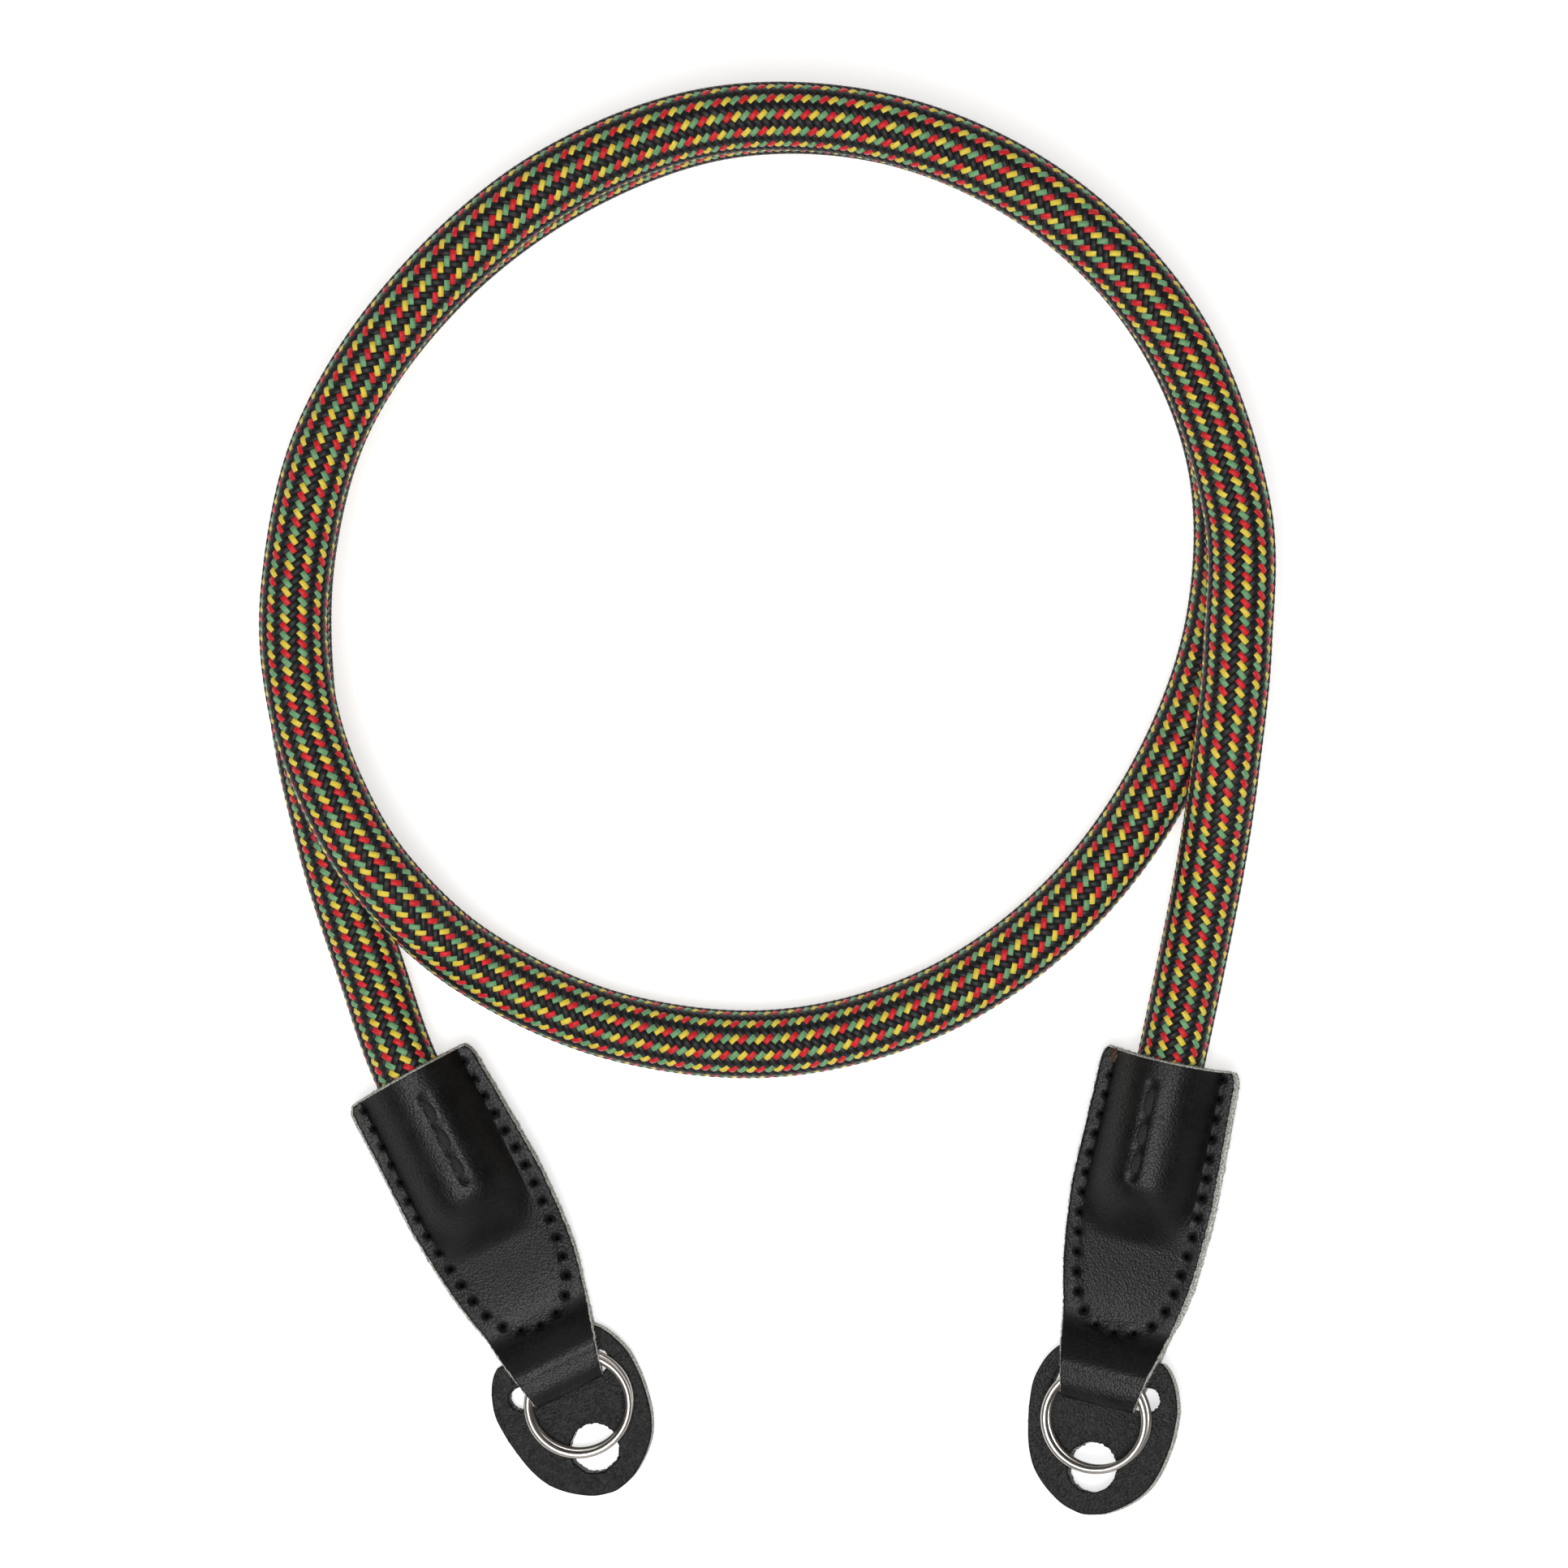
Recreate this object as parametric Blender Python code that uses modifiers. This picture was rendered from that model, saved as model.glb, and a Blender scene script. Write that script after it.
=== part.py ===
"""Camera neck strap: a braided rope that lies in two turns, with a folded leather end on each end of it.

A leather end is one strip, sewn flat over the rope and folded back round a split ring and a protector pad.
Lengths are in metres. An end is made in a frame of its own, which an empty places on the floor: its origin is
on the floor under the fold's outer edge, +Y runs from the fold to the mouth that the rope comes out of, and
+Z is up.
"""

import math
from collections import namedtuple

import bmesh
import bpy
import numpy as np
from mathutils import Euler, Vector

MM = 0.001

# The space left between two pieces that touch
TOUCH_GAP = 0.0003

# Rope
ROPE_DIAMETER = 0.011
ROPE_TUCK = 0.019
ROPE_LEAD = 0.002
ROPE_POINTS = 80
ROPE_BEVEL_RESOLUTION = 4

# Leather ends
LEATHER_THICKNESS = 0.0014
END_LENGTH = 0.056
END_WIDTH = 0.0224
FOLD_WIDTH = 0.0112
FOLD_DEPTH = 0.0124
BULGE_RUN = 0.0105
BULGE_MARGIN = 0.0032
BULGE_CREST = 2.4
BULGE_FLANK = 1.5
SEAM_SHARE = 0.38
END_COLUMNS = 14
BEND_STATIONS = 20

# Split rings
RING_DIAMETER = 0.0173
RING_WIRE = 0.0012
RING_COIL_GAP = 0.00005
RING_SEAT = 0.0058
RING_CROSSOVER = 44.0
RING_TURN_POINTS = 26
RING_BEVEL_RESOLUTION = 2

# Protector pads
PAD_THICKNESS = 0.0018
PAD_LENGTH = 0.0261
PAD_WIDTH = 0.0237
PAD_BRIDGE = 0.0041
PAD_BEND_RUN = 0.0103
PAD_BENDS = 9
PAD_OUTLINE_POINTS = 44
SLOT_PLAY = 0.0026
SLOT_SIDE_PLAY = 0.0031
SLOT_LAG = 0.0003
LUG_HOLE_DIAMETER = 0.0079
LUG_HOLE_BACK = 0.0124
ROUND_POINTS = 20

# The outline of an end: how far from the fold as a share of END_LENGTH, and how wide as a share of the
# way from FOLD_WIDTH to END_WIDTH
EndSection = namedtuple("EndSection", "along width")
END_OUTLINE = (
    EndSection(0.00, 0.00),
    EndSection(0.09, 0.20),
    EndSection(0.17, 0.40),
    EndSection(0.25, 0.56),
    EndSection(0.36, 0.79),
    EndSection(0.45, 0.90),
    EndSection(0.55, 0.97),
    EndSection(0.62, 1.00),
    EndSection(0.75, 0.97),
    EndSection(0.88, 0.935),
    EndSection(0.97, 0.905),
    EndSection(1.00, 0.79),
)

# Where the two sewn layers have their cross sections, as shares of END_LENGTH beyond FOLD_DEPTH
LAYER_SECTIONS = (0.05, 0.15, 0.25, 0.34, 0.41, 0.47, 0.53, 0.60, 0.70, 0.82, 0.92, 0.975, 1.00)

# The strip's middle as it goes round the ring: how far in from the fold's outer edge as a share of
# FOLD_DEPTH, and how high as a share of the way from the lower layer to the top of the roll
BendPoint = namedtuple("BendPoint", "depth height")
BEND = (
    BendPoint(0.73, 0.82),
    BendPoint(0.49, 1.00),
    BendPoint(0.37, 0.99),
    BendPoint(0.20, 0.95),
    BendPoint(0.095, 0.83),
    BendPoint(0.060, 0.66),
    BendPoint(0.075, 0.50),
    BendPoint(0.150, 0.35),
    BendPoint(0.210, 0.20),
    BendPoint(0.280, 0.07),
    BendPoint(0.36, 0.00),
    BendPoint(0.69, 0.00),
)

# The outline of a pad: how far back from its front edge as a share of PAD_LENGTH, and how wide as a
# share of PAD_WIDTH
PadSection = namedtuple("PadSection", "back width")
PAD_OUTLINE = (
    PadSection(0.000, 0.675),
    PadSection(0.035, 0.77),
    PadSection(0.10, 0.87),
    PadSection(0.18, 0.945),
    PadSection(0.27, 0.995),
    PadSection(0.37, 1.00),
    PadSection(0.47, 0.985),
    PadSection(0.61, 0.93),
    PadSection(0.71, 0.86),
    PadSection(0.795, 0.76),
    PadSection(0.87, 0.61),
    PadSection(0.93, 0.44),
    PadSection(0.97, 0.285),
    PadSection(0.99, 0.14),
    PadSection(1.000, 0.00),
)

# Where each end lies: the place of its origin in millimetres and its turns in degrees. Then, in
# millimetres, how far the leather bows sideways, and how far the ring and the pad have slid sideways, and
# last the pad's own turn in degrees
Placement = namedtuple("Placement", "side x y yaw roll pitch bow ring_slide pad_slide pad_turn")
PLACEMENTS = (
    Placement("left", -35.7, -17.9, 26.74, 0.0, 0.0, 0.75, 0.15, -0.7, 0.0),
    Placement("right", 48.9, -20.1, -12.1, -12.0, -2.0, 0.2, 0.0, 0.9, 1.0),
)

# The rope's middle, in millimetres, from just past the left end's mouth to just before the right end's
ROPE_ROUTE = (
    (-67.2, 48.8, 5.7),
    (-73.6, 68.8, 5.7),
    (-78.4, 92.3, 5.7),
    (-78.3, 116.2, 5.7),
    (-71.5, 139.1, 5.7),
    (-55.8, 159.7, 5.7),
    (-34.9, 175.0, 5.7),
    (-10.6, 183.7, 5.7),
    (15.2, 182.7, 5.7),
    (38.9, 172.2, 5.7),
    (57.3, 154.1, 5.7),
    (67.6, 130.4, 5.7),
    (67.4, 104.5, 5.7),
    (58.5, 80.2, 5.7),
    (43.2, 59.3, 5.7),
    (22.1, 44.3, 5.7),
    (-2.9, 37.7, 5.7),
    (-28.6, 40.4, 5.7),
    (-50.1, 50.3, 8.3),
    (-63.9, 63.1, 14.7),
    (-72.2, 76.5, 17.0),
    (-77.3, 91.6, 17.1),
    (-78.3, 109.5, 17.1),
    (-73.2, 132.8, 17.1),
    (-59.3, 154.6, 17.1),
    (-38.3, 172.9, 17.1),
    (-12.3, 182.8, 17.1),
    (15.5, 181.3, 17.1),
    (40.6, 169.4, 17.1),
    (59.5, 149.0, 17.1),
    (69.0, 122.8, 17.1),
    (69.3, 100.8, 16.9),
    (67.7, 83.0, 14.9),
    (66.0, 68.2, 10.4),
    (63.3, 52.8, 7.7),
)

Finish = namedtuple("Finish", "colour roughness metallic")
ROPE_FINISH = Finish((0.30, 0.22, 0.12), 0.7, 0.0)
LEATHER_FINISH = Finish((0.012, 0.012, 0.013), 0.5, 0.0)
RING_FINISH = Finish((0.62, 0.60, 0.56), 0.25, 1.0)
PAD_FINISH = Finish((0.014, 0.014, 0.015), 0.6, 0.0)


def smoothstep(low, high, value):
    """0 up to low, 1 from high, and a soft rise between them."""
    share = min(max((value - low) / (high - low), 0.0), 1.0)
    return share * share * (3.0 - 2.0 * share)


def smooth_curve(points, steps=16):
    """A fine smooth curve through the points."""
    ends = [2.0 * points[0] - points[1], *points, 2.0 * points[-1] - points[-2]]
    curve = []
    for before, start, end, after in zip(ends, ends[1:], ends[2:], ends[3:]):
        for step in range(steps):
            t = step / steps
            linear = (end - before) * t
            square = (2.0 * before - 5.0 * start + 4.0 * end - after) * t**2
            cubic = (3.0 * start - before - 3.0 * end + after) * t**3
            curve.append(start + 0.5 * (linear + square + cubic))
    return curve + [points[-1]]


def evenly_spaced(curve, count):
    """So many points along a fine curve, at equal distances."""
    reached = [0.0]
    for start, end in zip(curve, curve[1:]):
        reached.append(reached[-1] + (end - start).length)
    places = np.linspace(0.0, reached[-1], count)
    columns = [np.interp(places, reached, [point[axis] for point in curve]) for axis in range(3)]
    return [Vector(place) for place in zip(*columns)]


def through_rows(rows, value):
    """The value of a two-column table at a share between its rows, on a smooth curve through them."""
    curve = smooth_curve([Vector(row) for row in rows])
    return float(np.interp(value, [point.x for point in curve], [point.y for point in curve]))


def poly_curve(name, lines, **settings):
    """A curve of straight-edged splines, one for each (points, closed) pair."""
    curve = bpy.data.curves.new(name, "CURVE")
    for points, closed in lines:
        spline = curve.splines.new("POLY")
        spline.points.add(len(points) - 1)
        for place, point in zip(spline.points, points):
            place.co = (*point, 1.0)
        spline.use_cyclic_u = closed
        spline.use_smooth = True
    for setting, value in settings.items():
        setattr(curve, setting, value)
    return curve


def wire(name, points, diameter, bevel_resolution):
    """A round wire or rope along the points, with flat ends."""
    return poly_curve(
        name,
        [(points, False)],
        dimensions="3D",
        bevel_depth=diameter / 2.0,
        bevel_resolution=bevel_resolution,
        use_fill_caps=True,
    )


def add_piece(name, data, finish, parent=None):
    """An object in the strap's collection, with a material of its own."""
    material = bpy.data.materials.new(name)
    material.use_nodes = True
    shader = material.node_tree.nodes["Principled BSDF"]
    shader.inputs["Base Color"].default_value = (*finish.colour, 1.0)
    shader.inputs["Roughness"].default_value = finish.roughness
    shader.inputs["Metallic"].default_value = finish.metallic
    data.materials.append(material)
    piece = bpy.data.objects.new(name, data)
    bpy.data.collections["camera_neck_strap"].objects.link(piece)
    piece.parent = parent
    return piece


# Heights in an end's own frame, from the floor up: the lower layer of leather, the pad's bridge, the
# ring's two coils and the roll of leather over them
LOWER_LAYER = LEATHER_THICKNESS / 2.0
BRIDGE_MIDDLE = LEATHER_THICKNESS + TOUCH_GAP + PAD_THICKNESS / 2.0
RING_IN_FOLD = BRIDGE_MIDDLE + PAD_THICKNESS / 2.0 + TOUCH_GAP + RING_WIRE / 2.0
COIL_RISE = RING_WIRE + RING_COIL_GAP
ROLL_TOP = RING_IN_FOLD + COIL_RISE + RING_WIRE / 2.0 + TOUCH_GAP + LEATHER_THICKNESS / 2.0
ROPE_HEIGHT = LEATHER_THICKNESS + TOUCH_GAP + ROPE_DIAMETER / 2.0

# Distances from the fold in an end's own frame: where the rope stops, and where its bulge starts and is full
ROPE_STOP = END_LENGTH - ROPE_TUCK
BULGE_FULL = ROPE_STOP - TOUCH_GAP
BULGE_START = BULGE_FULL - BULGE_RUN

# Half of the space from one sewn layer's middle to the other's
LAYER_OFFSET = (LEATHER_THICKNESS + TOUCH_GAP) / 2.0


def half_width(along):
    """Half the width of a leather end at a distance from its fold."""
    share = through_rows(END_OUTLINE, along / END_LENGTH)
    return (FOLD_WIDTH + share * (END_WIDTH - FOLD_WIDTH)) / 2.0


def seam_height(along):
    """The height of the plane between the two sewn layers."""
    low = LOWER_LAYER + SEAM_SHARE * (ROLL_TOP - LOWER_LAYER)
    return low + (ROPE_HEIGHT - low) * smoothstep(FOLD_DEPTH, BULGE_FULL, along)


def bulge(along, across):
    """How far each sewn layer stands away from the seam to make room for the rope."""
    height = ROPE_DIAMETER / 2.0 + TOUCH_GAP + LEATHER_THICKNESS / 2.0 - LAYER_OFFSET
    share = min(abs(across) / (ROPE_DIAMETER / 2.0 + BULGE_MARGIN), 1.0)
    crest = (1.0 - share**BULGE_CREST) ** BULGE_FLANK
    return height * crest * smoothstep(BULGE_START, BULGE_FULL, along)


def bend_line():
    """The middle of the strip round the ring, from the upper layer to the lower, as (0, along, height)."""
    seam = seam_height(FOLD_DEPTH)
    points = [Vector((0.0, FOLD_DEPTH, seam + LAYER_OFFSET))]
    for row in BEND:
        height = LOWER_LAYER + row.height * (ROLL_TOP - LOWER_LAYER)
        points.append(Vector((0.0, row.depth * FOLD_DEPTH, height)))
    points.append(Vector((0.0, FOLD_DEPTH, seam - LAYER_OFFSET)))
    return smooth_curve(points)


def strip_stations():
    """(distance from the fold, height, side) of each cross section, from the upper mouth edge to the lower."""
    layer = [FOLD_DEPTH + share * (END_LENGTH - FOLD_DEPTH) for share in LAYER_SECTIONS]
    upper = [(along, seam_height(along) + LAYER_OFFSET, 1.0) for along in reversed(layer)]
    lower = [(along, seam_height(along) - LAYER_OFFSET, -1.0) for along in layer]
    bend = [(point.y, point.z, 0.0) for point in evenly_spaced(bend_line(), BEND_STATIONS)]
    return upper + bend + lower


def leather_end(side, parent, bow):
    """One strip, folded over: a grid whose rows are laid along the strip, thickened into leather."""
    stations = strip_stations()
    rows = len(stations) - 1
    sheet = bmesh.new()
    bmesh.ops.create_grid(sheet, x_segments=END_COLUMNS, y_segments=rows, size=1.0)
    for vertex in sheet.verts:
        along, height, layer = stations[round((vertex.co.y + 1.0) / 2.0 * rows)]
        across = vertex.co.x * half_width(along) + bow * MM * math.sin(math.pi * along / END_LENGTH)
        vertex.co = (across, along, height + layer * bulge(along, across))
    mesh = bpy.data.meshes.new(f"leather_end_{side}")
    sheet.to_mesh(mesh)
    sheet.free()
    mesh.shade_smooth()
    piece = add_piece(mesh.name, mesh, LEATHER_FINISH, parent)
    wall = piece.modifiers.new("wall", "SOLIDIFY")
    wall.thickness = LEATHER_THICKNESS
    wall.offset = 0.0
    wall.use_even_offset = True
    return piece


def split_ring(side, parent, slide):
    """Two coils of wire, which step up to the second coil inside the fold, where the leather hides it."""
    radius = (RING_DIAMETER - RING_WIRE) / 2.0
    half_step = math.radians(RING_CROSSOVER / 2.0)
    points = []
    for turned in np.linspace(half_step, 4.0 * math.pi - half_step, 2 * RING_TURN_POINTS):
        rise = COIL_RISE * smoothstep(2.0 * math.pi - half_step, 2.0 * math.pi + half_step, turned)
        points.append((-radius * math.sin(turned), radius * math.cos(turned), rise))
    ring = wire(f"split_ring_{side}", points, RING_WIRE, RING_BEVEL_RESOLUTION)
    piece = add_piece(ring.name, ring, RING_FINISH, parent)
    drop = LEATHER_THICKNESS + TOUCH_GAP
    tilt = math.asin(drop / (2.0 * radius))
    piece.location = (slide * MM, RING_SEAT - radius * math.cos(tilt), RING_IN_FOLD - drop / 2.0)
    piece.rotation_euler.x = tilt
    return piece


def slot_middle():
    """Where the strip comes down through the pad's slot."""
    lowering = [point for point in bend_line() if point.z < RING_IN_FOLD and point.y < FOLD_DEPTH / 2.0]
    crossing = min(lowering, key=lambda point: abs(point.z - BRIDGE_MIDDLE))
    return crossing.y + SLOT_LAG


def ring_of_points(middle_y, half_length, radius):
    """A closed outline with round ends, or a circle where half_length equals radius."""
    points = []
    for turned in np.linspace(0.0, 2.0 * math.pi, ROUND_POINTS, endpoint=False):
        side = math.copysign(half_length - radius, math.cos(turned))
        points.append((side + radius * math.cos(turned), middle_y + radius * math.sin(turned), 0.0))
    return points


def pad_height(along, bend_end):
    """The height of the middle of a pad: on the floor at the back, and on the lower layer at the bridge."""
    low = PAD_THICKNESS / 2.0
    return low + (BRIDGE_MIDDLE - low) * smoothstep(bend_end - PAD_BEND_RUN, bend_end, along)


def protector_pad(side, parent, slide, turn):
    """A flat outline with its slot and lug hole, thickened and bent up onto the strip's lower layer."""
    middle = slot_middle()
    slot_radius = (LEATHER_THICKNESS + SLOT_PLAY) / 2.0
    slot_half_length = FOLD_WIDTH / 2.0 + SLOT_SIDE_PLAY
    bend_end = middle + slot_radius
    front = bend_end + PAD_BRIDGE
    rows = [Vector((row.width * PAD_WIDTH / 2.0, front - row.back * PAD_LENGTH, 0.0)) for row in PAD_OUTLINE]
    mirrored = [Vector((-row.x, row.y, 0.0)) for row in reversed(rows[:-1])]
    outline = evenly_spaced(smooth_curve(rows + mirrored), PAD_OUTLINE_POINTS)
    hole_radius = LUG_HOLE_DIAMETER / 2.0
    flat = poly_curve(
        "pad_outline",
        [
            (outline, True),
            (ring_of_points(middle, slot_half_length, slot_radius), True),
            (ring_of_points(middle - LUG_HOLE_BACK, hole_radius, hole_radius), True),
        ],
        dimensions="2D",
        fill_mode="BOTH",
        extrude=PAD_THICKNESS / 2.0,
    )
    guide = bpy.data.objects.new("pad_outline", flat)
    bpy.context.scene.collection.objects.link(guide)
    filled = guide.evaluated_get(bpy.context.evaluated_depsgraph_get())
    mesh = bpy.data.meshes.new_from_object(filled)
    bpy.data.objects.remove(guide)
    bpy.data.curves.remove(flat)
    mesh.name = f"protector_pad_{side}"

    pad = bmesh.new()
    pad.from_mesh(mesh)
    bmesh.ops.remove_doubles(pad, verts=pad.verts, dist=1e-6)
    for line in np.linspace(bend_end - PAD_BEND_RUN, bend_end, PAD_BENDS):
        cut = [*pad.verts, *pad.edges, *pad.faces]
        bmesh.ops.bisect_plane(pad, geom=cut, dist=1e-7, plane_co=(0.0, line, 0.0), plane_no=(0.0, 1.0, 0.0))
    for vertex in pad.verts:
        vertex.co.z += pad_height(vertex.co.y, bend_end)
    pad.to_mesh(mesh)
    pad.free()
    mesh.shade_smooth()
    mesh.set_sharp_from_angle(angle=math.radians(40.0))
    piece = add_piece(mesh.name, mesh, PAD_FINISH, parent)
    piece.location.x = slide * MM
    piece.rotation_euler.z = math.radians(turn)
    return piece


def lowest_point(pieces):
    """The lowest height of any vertex of the pieces."""
    graph = bpy.context.evaluated_depsgraph_get()
    lowest = math.inf
    for piece in pieces:
        evaluated = piece.evaluated_get(graph)
        mesh = evaluated.to_mesh()
        lowest = min(lowest, *((evaluated.matrix_world @ vertex.co).z for vertex in mesh.vertices))
        evaluated.to_mesh_clear()
    return lowest


def place_end(place):
    """An empty that carries one end, turned as it lies and let down until it touches the floor."""
    end = bpy.data.objects.new(f"{place.side}_end", None)
    bpy.data.collections["camera_neck_strap"].objects.link(end)
    end.location = (place.x * MM, place.y * MM, 0.0)
    turns = (math.radians(angle) for angle in (place.pitch, place.roll, place.yaw))
    end.rotation_euler = Euler(turns, "XYZ")
    pieces = [
        leather_end(place.side, end, place.bow),
        split_ring(place.side, end, place.ring_slide),
        protector_pad(place.side, end, place.pad_slide, place.pad_turn),
    ]
    bpy.context.view_layer.update()
    end.location.z = -lowest_point(pieces)
    bpy.context.view_layer.update()
    return end


def rope(left, right):
    """The rope from inside the left end, along its route, into the right end."""
    stop = Vector((0.0, ROPE_STOP, ROPE_HEIGHT))
    lead = Vector((0.0, END_LENGTH + ROPE_LEAD, ROPE_HEIGHT))
    route = [Vector(point) * MM for point in ROPE_ROUTE]
    start = [left.matrix_world @ stop, left.matrix_world @ lead]
    end = [right.matrix_world @ lead, right.matrix_world @ stop]
    points = evenly_spaced(smooth_curve([*start, *route, *end]), ROPE_POINTS)
    return add_piece("rope", wire("rope", points, ROPE_DIAMETER, ROPE_BEVEL_RESOLUTION), ROPE_FINISH)


for startup_object in list(bpy.data.objects):
    bpy.data.objects.remove(startup_object)
strap = bpy.data.collections.new("camera_neck_strap")
bpy.context.scene.collection.children.link(strap)
left_end, right_end = (place_end(place) for place in PLACEMENTS)
rope(left_end, right_end)
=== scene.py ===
import math
from collections import namedtuple

import bmesh
import bpy
import numpy as np
from mathutils import Euler, Matrix, Vector


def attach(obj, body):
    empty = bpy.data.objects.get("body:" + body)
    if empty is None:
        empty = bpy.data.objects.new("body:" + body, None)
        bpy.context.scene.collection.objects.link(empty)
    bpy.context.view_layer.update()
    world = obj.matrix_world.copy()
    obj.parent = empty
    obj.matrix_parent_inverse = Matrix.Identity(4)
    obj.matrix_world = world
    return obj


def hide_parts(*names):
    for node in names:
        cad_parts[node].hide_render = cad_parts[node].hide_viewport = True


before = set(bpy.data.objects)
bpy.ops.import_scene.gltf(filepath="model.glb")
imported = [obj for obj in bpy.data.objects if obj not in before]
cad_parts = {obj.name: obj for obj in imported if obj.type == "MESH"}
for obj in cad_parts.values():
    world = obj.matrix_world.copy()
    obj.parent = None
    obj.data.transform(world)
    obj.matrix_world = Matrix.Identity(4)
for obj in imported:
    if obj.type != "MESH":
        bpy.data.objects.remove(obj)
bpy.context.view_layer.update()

# Studio: the strap lies on a white table that glows faintly, under a camera that looks straight down. One
# large soft lamp hangs over it, and a weak one stands at its foot. Lengths are in metres in the whole file.
CAMERA_HEIGHT = 0.8
VIEW_MIDDLE = (-0.00177, 0.0789)
VIEW_WIDTH = 0.251
SENSOR_WIDTH = 36.0
TABLE_SIZE = 6.0
TABLE_COLOUR = (0.62, 0.62, 0.62, 1.0)
TABLE_GLOW = 0.62
TABLE_CLOUD_SCALE = 3.0
NOISE_ROUGHNESS = 0.6
ROOM_COLOUR = (1.0, 1.0, 1.0, 1.0)
ROOM_STRENGTH = 0.07

SoftBox = namedtuple("SoftBox", "name place size power")
SOFT_BOXES = (
    SoftBox("top_soft_box", (-0.06, -0.12, 1.25), 0.6, 12.5),
    SoftBox("foot_soft_box", (0.1, -0.9, 0.6), 0.6, 1.0),
)


def put_in_scene(thing):
    """Puts an object into the scene."""
    bpy.context.scene.collection.objects.link(thing)
    return thing


def new_mesh(name, shape):
    """The mesh made from a bmesh."""
    mesh = bpy.data.meshes.new(name)
    shape.to_mesh(mesh)
    shape.free()
    return mesh


class Socket:
    """An output in a material's tree. Sums on it add Math nodes, and node() adds any other node."""

    def __init__(self, tree, output=None):
        self.tree = tree
        self.output = output

    def node(self, kind, settings=None, inputs=None, output=0):
        """A node of that kind: its settings first, then the values or links of its sockets."""
        made = self.tree.nodes.new(kind)
        for name, value in (settings or {}).items():
            setattr(made, name, value)
        for name, value in (inputs or {}).items():
            if isinstance(value, Socket):
                self.tree.links.new(value.output, made.inputs[name])
            else:
                made.inputs[name].default_value = value
        return Socket(self.tree, made.outputs[output])

    def sum_of(self, operation, first, second):
        return self.node("ShaderNodeMath", {"operation": operation}, {0: first, 1: second})

    def __add__(self, other):
        return self.sum_of("ADD", self, other)

    def __rsub__(self, other):
        return self.sum_of("SUBTRACT", other, self)

    def __mul__(self, other):
        return self.sum_of("MULTIPLY", self, other)

    __radd__ = __add__
    __rmul__ = __mul__


def noise(start, place, scale, detail=2.0):
    """Cloudy values around 0.5 at a scale in patches a metre."""
    sockets = {"Vector": place, "Scale": scale, "Detail": detail, "Roughness": NOISE_ROUGHNESS}
    return start.node("ShaderNodeTexNoise", None, sockets)


def new_material(name, constants, varying):
    """A material: constants go on the shader's own sockets, and varying gives the links of the others."""
    material = bpy.data.materials.new(name)
    material.use_nodes = True
    tree = material.node_tree
    shader = tree.nodes["Principled BSDF"]
    for socket, value in constants.items():
        shader.inputs[socket].default_value = value
    for socket, value in varying(Socket(tree)).items():
        tree.links.new(value.output, shader.inputs[socket])
    return material


def object_place(start):
    """A point's own place in the strap's frame."""
    return start.node("ShaderNodeTexCoord", output="Object")


def table_surface(start):
    """A matt board, a little uneven."""
    cloud = noise(start, object_place(start), TABLE_CLOUD_SCALE)
    return {"Roughness": 0.55 + 0.1 * cloud}


board = bmesh.new()
bmesh.ops.create_grid(board, x_segments=1, y_segments=1, size=TABLE_SIZE / 2.0)
table_data = new_mesh("table", board)
table = put_in_scene(bpy.data.objects.new("table", table_data))
table_finish = {
    "Base Color": TABLE_COLOUR,
    "Emission Color": (1.0, 1.0, 1.0, 1.0),
    "Emission Strength": TABLE_GLOW,
}
table_data.materials.append(new_material("table", table_finish, table_surface))

camera_data = bpy.data.cameras.new("camera")
camera_data.sensor_width = SENSOR_WIDTH
camera_data.lens = SENSOR_WIDTH * CAMERA_HEIGHT / VIEW_WIDTH
camera = put_in_scene(bpy.data.objects.new("camera", camera_data))
camera.location = (*VIEW_MIDDLE, CAMERA_HEIGHT)
bpy.context.scene.camera = camera

for box in SOFT_BOXES:
    lamp = bpy.data.lights.new(box.name, "AREA")
    lamp.shape = "SQUARE"
    lamp.size = box.size
    lamp.energy = box.power
    lamp_object = put_in_scene(bpy.data.objects.new(box.name, lamp))
    lamp_object.location = box.place
    aim = Vector((*VIEW_MIDDLE, 0.0)) - lamp_object.location
    lamp_object.rotation_euler = aim.to_track_quat("-Z", "Y").to_euler()

room = bpy.data.worlds.new("room")
room.use_nodes = True
room.node_tree.nodes["Background"].inputs["Color"].default_value = ROOM_COLOUR
room.node_tree.nodes["Background"].inputs["Strength"].default_value = ROOM_STRENGTH
bpy.context.scene.world = room
bpy.context.scene.view_settings.view_transform = "Standard"

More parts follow.
